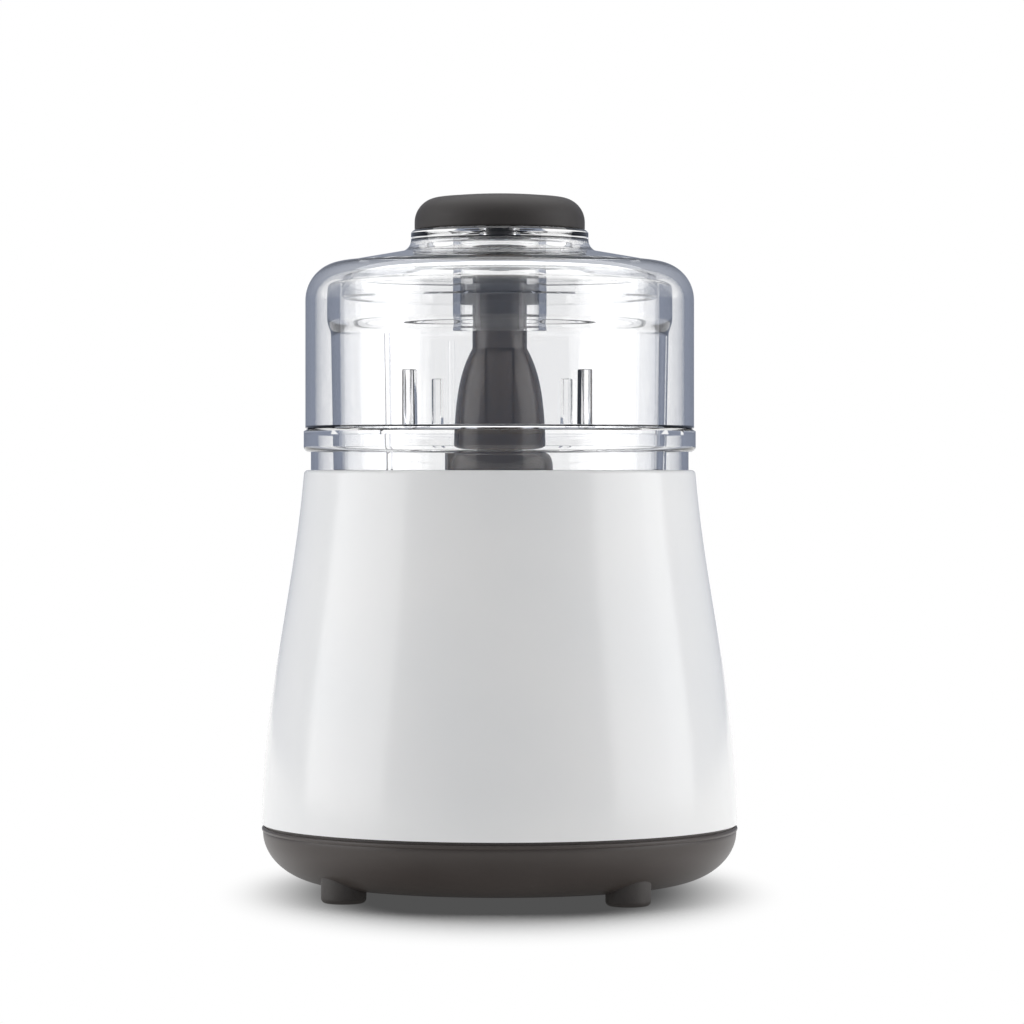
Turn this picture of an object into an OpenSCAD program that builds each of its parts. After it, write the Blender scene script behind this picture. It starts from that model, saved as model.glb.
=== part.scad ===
// Electric food chopper: motor base, sprung bowl, blade and press-down lid
// Millimetres, +Z up, worktop at z = 0, front towards -Y, drive shaft on the Z axis

/* [Housing] */
// Height of the housing rim above the worktop
rim_z = 152.5; // [148:0.5:158]
// Outer radius of the housing at its rim
rim_r = 71; // [69:0.5:73]
// Outer radius of the housing at its foot
base_r = 86.2; // [84:0.2:90]
// Height of the housing's lower edge
seam_z = 24.8; // [23:0.2:27]
// Wall of the housing shell
shell_wall = 2.2; // [1.8:0.1:2.6]
// Outward lean of the wall under the rim, run over drop
rim_lean = 0.085; // [0.05:0.005:0.12]
// Length over which the wall keeps the rim's lean
rim_pull = 46; // [36:1:56]
// Length over which the wall turns upright at the foot
foot_pull = 43.5; // [34:0.5:54]
// Rounding of the rim's outer edge
rim_round = 1.6; // [0.8:0.1:1.7]

/* [Base pan] */
// Height of the pan's underside above the worktop
pan_lift = 3.6; // [3:0.1:4.6]
// Wall of the pan
pan_wall = 2.4; // [2:0.1:3]
// Width of the rounded part of the underside
pan_round_w = 24.2; // [20:0.2:28]
// Height of the shadow groove under the housing
groove_h = 1; // [0.6:0.1:1.6]
// Height of the bead round the pan's top edge
bead_h = 1.8; // [1.2:0.1:2.4]
// Step from the bead in to the pan's side
bead_step = 0.4; // [0.2:0.1:0.8]
// Width of the ledge that carries the housing's lower edge
ledge_w = 1.2; // [0.8:0.1:1.6]
// Height of the locating spigot above the ledge
spigot_h = 5; // [3:0.5:7]
// Number of cooling slots in the underside
vent_count = 18; // [10:1:22]
// Width of each cooling slot
vent_w = 4; // [2.5:0.5:5]

/* [Feet] */
// Radius of a foot
foot_r = 8; // [7:0.5:9]
// Inset of the feet from the housing's foot
foot_inset = 15.2; // [14:0.2:17]
// Direction of the first foot, seen from above
foot_turn = 39.3; // [36:0.3:42]
// Depth of the pocket that holds a foot
pocket_h = 5.9; // [5:0.1:7]
// Rounding of a foot's lower edge
foot_round = 1.8; // [1:0.2:2.4]

/* [Motor] */
// Radius of the drive shaft
shaft_r = 4; // [3.5:0.1:4.4]
// Outer radius of a bearing
bearing_r = 11; // [10:0.5:12]
// Width of a bearing
bearing_w = 7; // [6:0.5:8]
// Radius of the armature
armature_r = 18.5; // [17:0.5:20]
// Air gap between armature and poles
air_gap = 0.8; // [0.5:0.1:1]
// Length of the armature and stator stacks
stack_h = 26; // [24:1:30]
// Half width of the stator
stator_half = 38; // [36:0.5:40]
// Radial room for a field coil
coil_w = 9.7; // [8:0.1:11]
// Height of a coil or winding past the stack
winding_h = 8; // [7:0.5:9]
// Length of the commutator
commutator_h = 11; // [10:0.5:13]
// Radius of the commutator
commutator_r = 11; // [10:0.5:12]
// Height of the fan
fan_h = 6.5; // [5:0.5:8]
// Radius of the fan
fan_r = 33; // [28:0.5:36]
// Distance of the motor bolts from the shaft axis
bolt_ring_r = 43; // [42:0.5:45]
// Thickness of the two motor brackets
bracket_t = 4; // [3:0.5:5]
// Distance of the rubber mounts from the shaft axis
damper_ring_r = 58; // [56:0.5:60]

/* [Well deck] */
// Thickness of the deck plate
deck_t = 3; // [2.5:0.1:4]
// Length of the deck columns that carry the motor
column_h = 9; // [7:0.5:12]
// Height of the shaft tube above the deck
tube_h = 26; // [22:0.5:30]
// Wall of the shaft tube
tube_wall = 2.5; // [2:0.1:3]
// Length of the spring tubes under the deck
spring_tube_h = 25; // [23:0.5:28]

/* [Press seat] */
// Travel of the bowl when the lid is pressed
press_travel = 4; // [3:0.25:5]
// Inset of the seat legs from the bowl's foot
seat_inset = 4.5; // [4:0.1:5]
// Radius of a seat leg
leg_r = 4; // [3.5:0.1:4.5]
// Thickness of the seat ring
seat_t = 3; // [2.5:0.1:4]
// Radius of the spring wire
spring_wire_r = 0.6; // [0.4:0.05:0.7]
// Turns of a seat spring
spring_turns = 6; // [4:1:7]
// Distance from the switch lever's pivot to the leg that works it
lever_arm = 12; // [10:0.5:14]

/* [Bowl] */
// Gap between the housing rim and the band round the bowl
band_gap = 6.6; // [5.6:0.2:8]
// Height of the band's upright side
band_h = 7.4; // [6:0.2:9]
// Step from the skirt out to the band
band_step = 2.6; // [2:0.1:3]
// Rounding under the band
band_round = 2; // [1:0.1:2.4]
// Height of the bevel on which the lid centres
bevel_h = 1.9; // [1.2:0.1:2.6]
// Wall of the skirt that stands in the housing
skirt_wall = 2.4; // [2:0.1:3]
// Depth of the skirt below the housing rim
skirt_drop = 10.5; // [8:0.5:14]
// Step from the lid's seat in to the bowl's lip
lip_gap = 4.45; // [4:0.05:5]
// Height of the lip
lip_h = 19.3; // [12:0.1:24]
// Step from the lip in to the wall
lip_step = 1.4; // [0.8:0.1:1.8]
// Height of the slope under the lip
lip_ramp = 6.2; // [3:0.1:8]
// Taper of the bowl from its lip to its floor
bowl_taper = 3.1; // [2.5:0.1:3.7]
// Wall of the bowl
bowl_wall = 3; // [2.4:0.1:3.2]
// Thickness of the bowl's floor
bowl_floor_t = 3; // [2.4:0.1:4]
// Rise of the bowl's rim above its flange
bowl_rise = 51.8; // [46:0.2:56]
// Wall of the hollow post in the bowl
post_wall = 2.5; // [2:0.1:3]
// Width of a gusset on the flange
gusset_w = 3.3; // [2.5:0.1:4]
// Height of the front gussets
front_gusset_h = 20.4; // [16:0.2:24]
// Height of the back gussets
back_gusset_h = 17.1; // [14:0.1:20]
// Angle of the front gussets from the front
front_gusset_turn = 28.6; // [24:0.1:36]
// Angle of the back gussets from the back
back_gusset_turn = 23.9; // [20:0.1:36]
// Turn of the bowl in its seat
bowl_turn = -0.9; // [-3:0.1:3]
// Angle of the first rib inside the bowl from the back
rib_turn = 19.6; // [10:0.1:40]
// Depth of the ribs inside the bowl
rib_depth = 1.2; // [0.8:0.1:1.6]
// Width of the ribs inside the bowl
rib_w = 2.6; // [2:0.1:4]

/* [Blade] */
// Gap between the blade tips and the bowl
blade_gap = 3; // [2.5:0.1:6]
// Thickness of a blade
blade_t = 1.5; // [1:0.1:2]
// Radius of the hub's collar
collar_r = 19.3; // [19:0.1:20]
// Height of the collar's top above the housing rim
collar_rise = 6.2; // [5:0.2:8]
// Radius of the hub above its collar
flare_r = 16.7; // [16.2:0.1:17.4]
// Radius of the hub's neck
neck_r = 9.9; // [9:0.1:11]
// Length of the hub's neck
neck_h = 28.9; // [24:0.5:34]
// Rise of the hub's top above the bowl's rim
hub_rise = 5.2; // [4:0.2:7]
// Height of the spacer between the blades
spacer_h = 19; // [16:0.5:20]
// Width of the drive dog across its flats
dog_flats = 13; // [12:0.1:14]
// Length of the drive dog
dog_h = 26; // [24:0.5:30]

/* [Lid] */
// Inset of the lid's side from the bowl's band
lid_inset = 0.6; // [0.3:0.1:1]
// Wall of the lid
lid_wall = 3.4; // [2.8:0.1:3.8]
// Height of the lid's straight side
lid_side_h = 45.6; // [44:0.2:50]
// Radius of the lid's shoulder
shoulder_r = 14; // [12:0.5:16]
// Rise of the lid's top from the shoulder to the neck
top_rise = 3.5; // [2:0.1:5]
// Outer radius of the lid's neck
lid_neck_r = 32.2; // [31.8:0.1:33]
// Height of the lid's neck above its foot
lid_neck_h = 7.8; // [6:0.2:10]
// Radius of the fillet at the neck's foot
neck_fillet = 4.5; // [3:0.5:6]
// Inner radius of the collar round the hub's top
lid_collar_in_r = 14.4; // [13:0.1:15]
// Wall of that collar
lid_collar_wall = 2.6; // [2:0.1:3]
// Length of that collar below the lid's top
lid_collar_h = 24.1; // [20:0.5:26]
// Wall of the plug ring
plug_wall = 2.5; // [2:0.1:3]
// Depth of the plug ring below the bowl's rim
plug_drop = 5.9; // [4:0.1:8]

/* [Knob] */
// Radius of the knob
knob_r = 30.9; // [30:0.1:32]
// Height of the knob
knob_h = 13.2; // [12:0.2:16]
// Rounding of the knob's upper edge
knob_round = 9; // [6:0.5:10]
// Crown of the knob's top
knob_crown = 1.2; // [0.6:0.1:2]
// Wall of the knob
knob_wall = 2.6; // [2:0.1:3]
// Radius of the disc that retains the knob
retainer_r = 11.4; // [10:0.1:12]

/* [Cord inlet] */
// Radius of the bore for the mains lead
cord_bore_r = 3.75; // [3:0.05:4]
// Height of the inlet above the housing's lower edge
inlet_rise = 10; // [9:0.5:12]
// Length of the gland
gland_l = 12; // [10:0.5:14]

/* [Hidden] */
$fn = 96;

// Clearances
run_gap = 0.04;
fit_gap = 0.02;
easy_gap = 0.3;
screw_gap = 0.15;
slide_gap = 0.06;
over = 1;

// Screws of one size throughout the base
screw_r = 2;
screw_head_r = 3.8;
screw_head_h = 2.5;
recess_w = 0.9;
recess_d = 1.2;
small_screw_r = 1.5;
small_head_r = 2.6;
small_head_h = 1.8;

// Radii that follow the housing's mouth
skirt_gap = 0.35;
skirt_r = rim_r - shell_wall - skirt_gap;
band_r = skirt_r + band_step;
lid_r = band_r - lid_inset;
seat_in_r = lid_r - lid_wall;
seat_out_r = seat_in_r + 1;
lip_r = seat_in_r - lip_gap;
bowl_wall_r = lip_r - lip_step;
bowl_foot_r = lip_r - bowl_taper;
leg_ring_r = bowl_foot_r - seat_inset;
deck_screw_step = 8;
deck_screw_ring_r = bowl_foot_r + deck_screw_step;
blade_r = bowl_foot_r - bowl_wall - blade_gap;

// Radii that follow the housing's foot
pan_flat_r = base_r - pan_round_w;
foot_ring_r = base_r - foot_inset;

// Levels of the base pan
pan_in_z = pan_lift + pan_wall;
lip_top_z = seam_z - groove_h;
side_top_z = lip_top_z - bead_h;
pan_side_r = base_r - bead_step;
spigot_wall = 2;
spigot_r = base_r - shell_wall - 2 * easy_gap;
pocket_z = pan_lift + pocket_h;
pocket_top_z = pocket_z + pan_wall;
vent_in_r = 20;
vent_out_r = 38;

// Columns that the base screws hold
column_r = 5;
column_top_z = seam_z + 20;
base_screw_l = 20;
foot_seat_z = screw_head_h + 2;
screw_boss_h = 16;
deck_screw_l = 12;
deck_screw_turn = 20;
rib_t = 2.4;

// Motor levels, from the pan's floor upwards
floor_gap = 1.5;
boss_floor = 1.6;
boss_wall = 3;
end_gap = 1.3;
bolt_r = 2;
bolt_head_r = 3.6;
bolt_head_h = 2.8;
nut_flats = 7;
nut_h = 3.2;
post_r = 5;
arm_w = 12;
bolt_eye_r = 7;
motor_z = pan_in_z + floor_gap;
lower_bearing_z = motor_z + boss_floor;
lower_plate_z = motor_z + bolt_head_h;
commutator_z = lower_bearing_z + bearing_w + end_gap;
winding_z = commutator_z + commutator_h;
stack_z = winding_z + winding_h;
stack_top_z = stack_z + stack_h;
fan_z = stack_top_z + winding_h + end_gap;
upper_bearing_z = fan_z + fan_h + end_gap;
upper_plate_z = upper_bearing_z + 1.5;
upper_plate_r = 30;
damper_flange_h = 2.5;
damper_r = 7.5;
damper_neck_r = 5;
damper_eye_r = 8;
damper_column_r = 6;
damper_screw_l = 8;
column_z = upper_plate_z + bracket_t + damper_flange_h;
deck_under_z = column_z + column_h;
deck_z = deck_under_z + deck_t;
damper_turn = 45;

// Stator and coils
bore_r = armature_r + air_gap;
slot_r = bore_r + coil_w;
pole_half = 45;
coil_half = 62;
coil_turn_gap = 1;
coil_end_h = winding_h - 1;
corner_r = bolt_ring_r + 5.5;
armature_slots = 12;
armature_slot_w = 3;
commutator_bars = 18;

// Brush gear
brush_w = 6;
brush_h = 8;
brush_l = 11;
holder_wall = 1.5;
holder_in_r = commutator_r + 2.5;
holder_l = 18;
brush_z = commutator_z + commutator_h / 2;
holder_z = brush_z - brush_h / 2 - holder_wall;
holder_turns = [90, 270];
lower_plate_r = holder_in_r + holder_l + 1.5;
brush_spring_r = 2.2;
brush_wire_r = 0.4;
brush_spring_turns = 4;

// Shaft tube, seal, drive dog and the bowl's post round it
seal_r = shaft_r + 4;
seal_h = 5;
tube_lip = 1.5;
shaft_room = 2;
tube_r = seal_r + tube_wall;
tube_top_z = deck_z + tube_h;
post_in_r = tube_r + 0.7;
post_out_r = post_in_r + post_wall;
dog_z = tube_top_z + 3;
dog_top_z = dog_z + dog_h;
dog_cap = 2;
post_top_z = dog_top_z - 10;
hub_bore_r = post_out_r + 0.4;

// Press seat
press_margin = 0.6;
seat_z = deck_z + press_travel + press_margin;
bowl_foot_z = seat_z + seat_t;
seat_half_w = 4;
leg_guide_h = 6;
collar_t = 3;
spring_bore_r = leg_r + 2;
collar_out_r = spring_bore_r - 0.4;
spring_tube_r = spring_bore_r + 1.5;
spring_tube_z = deck_under_z - spring_tube_h;
leg_stop_z = deck_z - leg_guide_h;
leg_end_z = leg_stop_z - collar_t;
tail_r = 2;
tip_r = 0.6;
tip_h = 1.4;
cap_plug_h = 3;
cap_flange_h = 2.5;
cap_z = spring_tube_z - cap_flange_h;
tail_show = 1.5;
tail_z = cap_z - tail_show;
spring_r = leg_r + 0.4;
spring_z = spring_tube_z + cap_plug_h + easy_gap;
spring_top_z = leg_end_z - easy_gap;
leg_turns = [0, 90, 180, 270];

// Switch under the back leg
lever_t = 1;
lever_w = 5;
lever_over = 4;
lever_angle = atan(press_travel / lever_arm);
pivot_x = -lever_arm;
pivot_z = tail_z - (lever_arm + tip_r) * tan(lever_angle) - lever_t / 2 / cos(lever_angle) - easy_gap;
barrel_r = 1.7;
pin_r = 0.8;
ear_t = 1.7;
ear_r = 2;
switch_w = 28;
switch_d = 10;
switch_h = 16;
switch_x = pivot_x - 4;
switch_y = leg_ring_r - switch_d / 2;
switch_top_z = pivot_z - ear_r - easy_gap;
switch_z = switch_top_z - switch_h;
plate_t = 2.5;
button_r = 1.2;
button_x = pivot_x + 4.5;
button_reach = button_x - button_r - pivot_x;
lever_under_z = pivot_z + button_reach * tan(lever_angle) - lever_t / 2 / cos(lever_angle);
button_top_z = lever_under_z - easy_gap;
button_l = 6;
button_travel = lever_under_z - pivot_z + lever_t / 2;
switch_screw_x = [switch_x + 4, switch_x + switch_w - 4];
switch_screw_z = switch_z + 4;

// Bowl
band_z = rim_z + band_gap;
bevel_z = band_z + band_h;
flange_z = bevel_z + bevel_h;
flange_t = 3.4;
lid_edge_z = flange_z - bevel_h * (lid_r - seat_out_r) / (band_r - seat_out_r) + easy_gap;
skirt_z = rim_z - skirt_drop;
bowl_rim_z = flange_z + bowl_rise;
lip_z = bowl_rim_z - lip_h;
foot_ring_h = 2.2;
bowl_under_z = bowl_foot_z + foot_ring_h;
bowl_floor_z = bowl_under_z + bowl_floor_t;
floor_corner = 5;
rim_edge = 1;
gusset_out_r = seat_in_r - 1.5;
rib_turns = [for (k = [0:2]) bowl_turn + 90 + rib_turn + 120 * k];
rib_foot = 4;
rib_ring_sides = 384;

// Blade stack
clamp_h = 3;
clamp_z = bowl_floor_z + 1.5;
lower_blade_z = clamp_z + clamp_h;
spacer_z = lower_blade_z + blade_t;
upper_blade_z = spacer_z + spacer_h;
hub_z = upper_blade_z + blade_t;
collar_top_z = rim_z + collar_rise;
collar_round = collar_r - flare_r;
hub_top_z = bowl_rim_z + hub_rise;
neck_z = hub_top_z - neck_h;
socket_z = post_top_z + easy_gap;
socket_h = dog_top_z - post_top_z + press_travel + 4;
socket_r = dog_flats / 2 + 4.5;
hub_split_z = socket_z + socket_h;
hub_core_r = 7;
hub_roof = 6;
blade_screw_r = 1.1;
blade_head_r = 1.9;
blade_head_h = 1.5;
blade_screw_ring_r = (hub_bore_r + collar_r) / 2;
blade_screw_l = hub_z - clamp_z + 8;
blade_screw_turns = [30, 150, 270];
blade_sweep = 34;
blade_root_half = 8.5;
blade_tip_half = 3;
blade_steps = 14;
channel_w = 10.5;
channel_depth = 1;
arch_w = 16.6;
arch_depth = 1.2;
arch_corner = 3;
arch_top_z = flange_z - 0.9;
lug_w = 14;
lug_h = 8;
lug_reach = 0.6;
hub_edge = 1.2;
socket_gap = 0.25;

// Lid
shoulder_z = flange_z + lid_side_h;
top_z = shoulder_z + shoulder_r;
top_in_r = lid_r - shoulder_r;
neck_foot_z = top_z + top_rise;
neck_top_z = neck_foot_z + lid_neck_h;
neck_edge = 0.8;
neck_plate_t = 3;
neck_hole_r = 5.2;
plate_under_z = neck_top_z - neck_plate_t;
lid_collar_r = lid_collar_in_r + lid_collar_wall;
lid_collar_z = top_z - lid_collar_h;
plug_r = bowl_wall_r - bowl_wall - 0.9;
plug_z = bowl_rim_z - plug_drop;
rib_top_z = lip_z;
plug_reach = max(plug_r - top_in_r, 0);
plug_top_z = shoulder_z + sqrt(pow(shoulder_r - lid_wall, 2) - pow(plug_reach, 2)) - 3 * fit_gap;

// Knob
knob_z = neck_top_z;
knob_top_z = knob_z + knob_h;
knob_boss_r = 9;
knob_spigot_r = neck_hole_r - 0.2;
retainer_h = 2.5;
retainer_z = plate_under_z - retainer_h;
knob_screw_r = 1.8;
knob_screw_l = 14;

// Gland in a slot that is open at the housing's lower edge
gland_r = cord_bore_r + 3.6;
gland_flange_r = gland_r + 2;
gland_flange_t = 4;
gland_z = seam_z + inlet_rise;
gland_y = base_r - 0.6;

// Small electrical pieces on bosses of the pan's floor
pan_boss_h = 4;
pan_boss_r = 3.4;
pan_screw_l = 5;
pan_boss_z = pan_in_z + pan_boss_h;
block_w = 30;
block_d = 14;
block_base_h = 4;
block_tower_h = 9;
block_tower_w = 7;
block_y = pan_flat_r - 4;
block_screw_x = 12;
suppressor_r = 7;
suppressor_l = 24;
suppressor_edge = 1.5;
strap_t = 1.2;
strap_w = 8;
strap_reach = suppressor_r + 5;
strap_foot = 4;
suppressor_x = -(lower_plate_r + strap_reach + strap_foot + 2);

// Smooth curves
curve_steps = 20;
arc_steps = 10;
function bezier(p, q, r, s, t) =
    pow(1 - t, 3) * p + 3 * pow(1 - t, 2) * t * q + 3 * (1 - t) * t * t * r + pow(t, 3) * s;
function bezier_points(p, q, r, s, n) = [for (i = [0:n]) bezier(p, q, r, s, i / n)];
function reversed(points) = [for (i = [len(points) - 1:-1:0]) points[i]];
function arc(centre, radius, from, to) = [
    for (i = [0:arc_steps])
        let (a = from + (to - from) * i / arc_steps)
        centre + radius * [cos(a), sin(a)]
];
function shell_curve(inset) = bezier_points(
    [rim_r - inset, rim_z - rim_round],
    [rim_r - inset + rim_lean * rim_pull, rim_z - rim_round - rim_pull],
    [base_r - inset, seam_z + foot_pull],
    [base_r - inset, seam_z],
    curve_steps);
function pan_curve(inset) = [
    for (i = [0:arc_steps])
        let (a = 90 * i / arc_steps)
        [pan_flat_r + (pan_side_r - inset - pan_flat_r) * sin(a),
         side_top_z - (side_top_z - pan_lift - inset) * cos(a)]
];
function bowl_out_r(z) =
    let (corner_z = bowl_under_z + floor_corner)
    bowl_foot_r + (bowl_wall_r - bowl_foot_r) * (z - corner_z) / (lip_z - corner_z);
function hub_curve(inset) = concat(
    [[collar_r - inset, hub_z], [collar_r - inset, collar_top_z - 2 * collar_round]],
    bezier_points(
        [collar_r - inset, collar_top_z - 2 * collar_round],
        [collar_r - inset, collar_top_z - 0.9 * collar_round],
        [flare_r - inset + 0.55 * collar_round, collar_top_z],
        [flare_r - inset, collar_top_z],
        arc_steps),
    bezier_points(
        [flare_r - inset, collar_top_z],
        [flare_r - inset - 0.4, collar_top_z + 0.46 * (neck_z - collar_top_z)],
        [flare_r - inset - 1.5, collar_top_z + 0.75 * (neck_z - collar_top_z)],
        [neck_r - inset, neck_z],
        curve_steps),
    [[neck_r - inset, hub_top_z - hub_edge], [neck_r - inset - hub_edge, hub_top_z], [0, hub_top_z]]);
function hex_r(flats) = flats / 2 / cos(30);
function blade_turn(u) = blade_sweep * pow(u, 1.3);
function blade_half(u) = blade_root_half + (blade_tip_half - blade_root_half) * pow(u, 1.5);
function blade_edge(u, side) =
    let (r = hub_bore_r + 2 + (blade_r - hub_bore_r - 2) * u)
    let (a = blade_turn(u) + side * 180 / PI * blade_half(u) / r)
    r * [cos(a), sin(a)];
function blade_outline() = concat(
    [for (i = [0:blade_steps]) blade_edge(i / blade_steps, -1)],
    [for (i = [blade_steps:-1:0]) blade_edge(i / blade_steps, 1)]);

// Shared shapes
module ring(out_r, in_r, h) {
    difference() {
        cylinder(r = out_r, h = h);
        translate([0, 0, -over]) cylinder(r = in_r, h = h + 2 * over);
    }
}

module around(turns, radius) {
    for (a = turns) rotate([0, 0, a]) translate([radius, 0, 0]) children();
}

module sector(out_r, in_r, half, h) {
    rotate([0, 0, -half]) rotate_extrude(angle = 2 * half)
        translate([in_r, 0]) square([out_r - in_r, h]);
}

// Screw whose head lies under z = 0 and whose shank rises from there
module screw(r, l, head_r, head_h) {
    recess_l = 1.2 * head_r;
    difference() {
        union() {
            translate([0, 0, -head_h]) cylinder(r = head_r, h = head_h);
            cylinder(r = r, h = l);
        }
        for (a = [0, 90]) {
            rotate([0, 0, a]) translate([-recess_l / 2, -recess_w / 2, -head_h - over])
                cube([recess_l, recess_w, recess_d + over]);
        }
    }
}

// Helical spring that stands on z = 0, swept as one tube
module coil(mean_r, wire_r, turns, length) {
    per_turn = 8;
    sides = 6;
    rings = turns * per_turn;
    rise = length - 2 * wire_r;
    points = [
        for (i = [0:rings], j = [0:sides - 1])
            let (a = 360 * i / per_turn, b = 360 * j / sides, r = mean_r + wire_r * cos(b))
            [r * cos(a), r * sin(a), wire_r + rise * i / rings + wire_r * sin(b)]
    ];
    walls = [
        for (i = [0:rings - 1], j = [0:sides - 1], half = [0, 1])
            let (k = (j + 1) % sides, p = i * sides, q = p + sides)
            half == 0 ? [p + j, p + k, q + k] : [p + j, q + k, q + j]
    ];
    ends = [
        for (j = [1:sides - 2], half = [0, 1])
            half == 0 ? [0, j + 1, j] : [rings * sides, rings * sides + j, rings * sides + j + 1]
    ];
    echo(least_gap = min([
        for (j = [0:sides - 1]) norm(points[per_turn * sides + j] - points[j]) - 2 * wire_r]));
    polyhedron(points, concat(walls, ends));
}

module shell_core(inset) {
    rotate_extrude() polygon(concat(
        [[0, seam_z], [0, rim_z - rim_round]], shell_curve(inset)));
}

module foot_places() {
    around([for (k = [0:3]) foot_turn + 90 * k], foot_ring_r) children();
}

module damper_places() {
    around([for (k = [0:3]) damper_turn + 90 * k], damper_ring_r) children();
}

module bolt_places() {
    around([for (k = [0:3]) damper_turn + 90 * k], bolt_ring_r) children();
}

module deck_screw_places() {
    around([for (k = [0:3]) deck_screw_turn + 90 * k], deck_screw_ring_r) children();
}

module leg_places() {
    around(leg_turns, leg_ring_r) children();
}

module block_screw_places() {
    for (x = [-block_screw_x, block_screw_x]) translate([x, block_y, pan_boss_z]) children();
}

module strap_screw_places() {
    for (x = [-strap_reach, strap_reach]) translate([suppressor_x + x, 0, pan_boss_z]) children();
}

module blade_screw_places() {
    around(blade_screw_turns, blade_screw_ring_r) children();
}

// Upright slot outline, round at the top and open at the housing's lower edge
module slot_outline(r) {
    translate([0, gland_z]) circle(r = r);
    translate([-r, seam_z]) square([2 * r, inlet_rise]);
}

// Outline drawn in X and Z, reaching from y back towards the shaft by l
module along_y(y, l) {
    translate([0, y, 0]) rotate([90, 0, 0]) linear_extrude(height = l) children();
}

// Base
module housing_wall() {
    rotate_extrude() polygon(concat(
        [[rim_r - shell_wall, rim_z]],
        arc([rim_r - rim_round, rim_z - rim_round], rim_round, 90, 0),
        shell_curve(0),
        reversed(shell_curve(shell_wall))));
}

// Motor part of the housing, below the deck
module housing_shell() {
    color("white") difference() {
        housing_wall();
        translate([0, 0, deck_under_z]) cylinder(r = base_r + over, h = rim_z);
        along_y(base_r + over, base_r - spigot_r + 3 * over) slot_outline(gland_r + screw_gap);
    }
}

// Ring of the housing round the well, above the deck's underside
module housing_mouth() {
    color("white") difference() {
        housing_wall();
        cylinder(r = base_r + over, h = deck_under_z);
    }
}

// Screw bosses with ribs that reach the inside of the housing's wall
module housing_bosses() {
    color("whitesmoke") difference() {
        union() {
            foot_places() translate([0, 0, pocket_top_z])
                cylinder(r = column_r, h = column_top_z - pocket_top_z);
            deck_screw_places() translate([0, 0, deck_z])
                cylinder(r = column_r, h = screw_boss_h);
            intersection() {
                shell_core(shell_wall + 4 * fit_gap);
                union() {
                    foot_places() translate([0, -rib_t / 2, seam_z + 2 * spigot_h])
                        cube([base_r, rib_t, column_top_z - seam_z - 2 * spigot_h]);
                    deck_screw_places() translate([0, -rib_t / 2, deck_z])
                        cube([base_r, rib_t, screw_boss_h]);
                }
            }
        }
        foot_places() translate([0, 0, pocket_top_z - over])
            cylinder(r = screw_r + fit_gap, h = base_screw_l + 2 * over);
        deck_screw_places() translate([0, 0, deck_z - over])
            cylinder(r = screw_r + fit_gap, h = deck_screw_l + 2 * over);
    }
}

module base_pan() {
    color("dimgray") difference() {
        union() {
            rotate_extrude() polygon(concat(
                [[0, pan_in_z], [0, pan_lift]],
                pan_curve(0),
                arc([base_r - bead_h / 2, lip_top_z - bead_h / 2], bead_h / 2, -60, 90),
                [[base_r - ledge_w, lip_top_z], [base_r - ledge_w, seam_z], [spigot_r, seam_z],
                 [spigot_r, seam_z + spigot_h], [spigot_r - spigot_wall, seam_z + spigot_h]],
                reversed(pan_curve(pan_wall))));
            intersection() {
                rotate_extrude() polygon(concat(
                    [[0, side_top_z], [0, pan_lift]], pan_curve(0)));
                foot_places() cylinder(r = foot_r + pan_wall, h = pocket_top_z);
            }
            block_screw_places() translate([0, 0, -pan_boss_h - over])
                cylinder(r = pan_boss_r, h = pan_boss_h + over);
            strap_screw_places() translate([0, 0, -pan_boss_h - over])
                cylinder(r = pan_boss_r, h = pan_boss_h + over);
        }
        foot_places() {
            cylinder(r = foot_r + screw_gap, h = pocket_z);
            cylinder(r = screw_r + screw_gap, h = pocket_top_z + over);
        }
        for (k = [0:vent_count - 1]) {
            rotate([0, 0, 360 * (k + 0.5) / vent_count]) translate([0, 0, pan_lift - over]) {
                translate([vent_in_r, -vent_w / 2, 0])
                    cube([vent_out_r - vent_in_r, vent_w, pan_wall + 2 * over]);
                translate([vent_in_r, 0, 0]) cylinder(r = vent_w / 2, h = pan_wall + 2 * over);
                translate([vent_out_r, 0, 0]) cylinder(r = vent_w / 2, h = pan_wall + 2 * over);
            }
        }
        block_screw_places() translate([0, 0, -pan_screw_l])
            cylinder(r = small_screw_r + fit_gap, h = pan_screw_l + over);
        strap_screw_places() translate([0, 0, -pan_screw_l])
            cylinder(r = small_screw_r + fit_gap, h = pan_screw_l + over);
        along_y(spigot_r + easy_gap, gland_l + spigot_wall) slot_outline(gland_flange_r + easy_gap);
    }
}

module feet() {
    color("#3a3736") foot_places() difference() {
        rotate_extrude() polygon(concat(
            [[0, pocket_z], [0, 0]],
            arc([foot_r - foot_round, foot_round], foot_round, -90, 0),
            [[foot_r, pocket_z]]));
        translate([0, 0, -over]) cylinder(r = screw_head_r + screw_gap, h = foot_seat_z + over);
        cylinder(r = screw_r + screw_gap, h = pocket_z + over);
    }
}

module base_screws() {
    color("silver") foot_places() translate([0, 0, foot_seat_z])
        screw(screw_r, pocket_top_z - foot_seat_z + base_screw_l, screw_head_r, screw_head_h);
}

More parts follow.
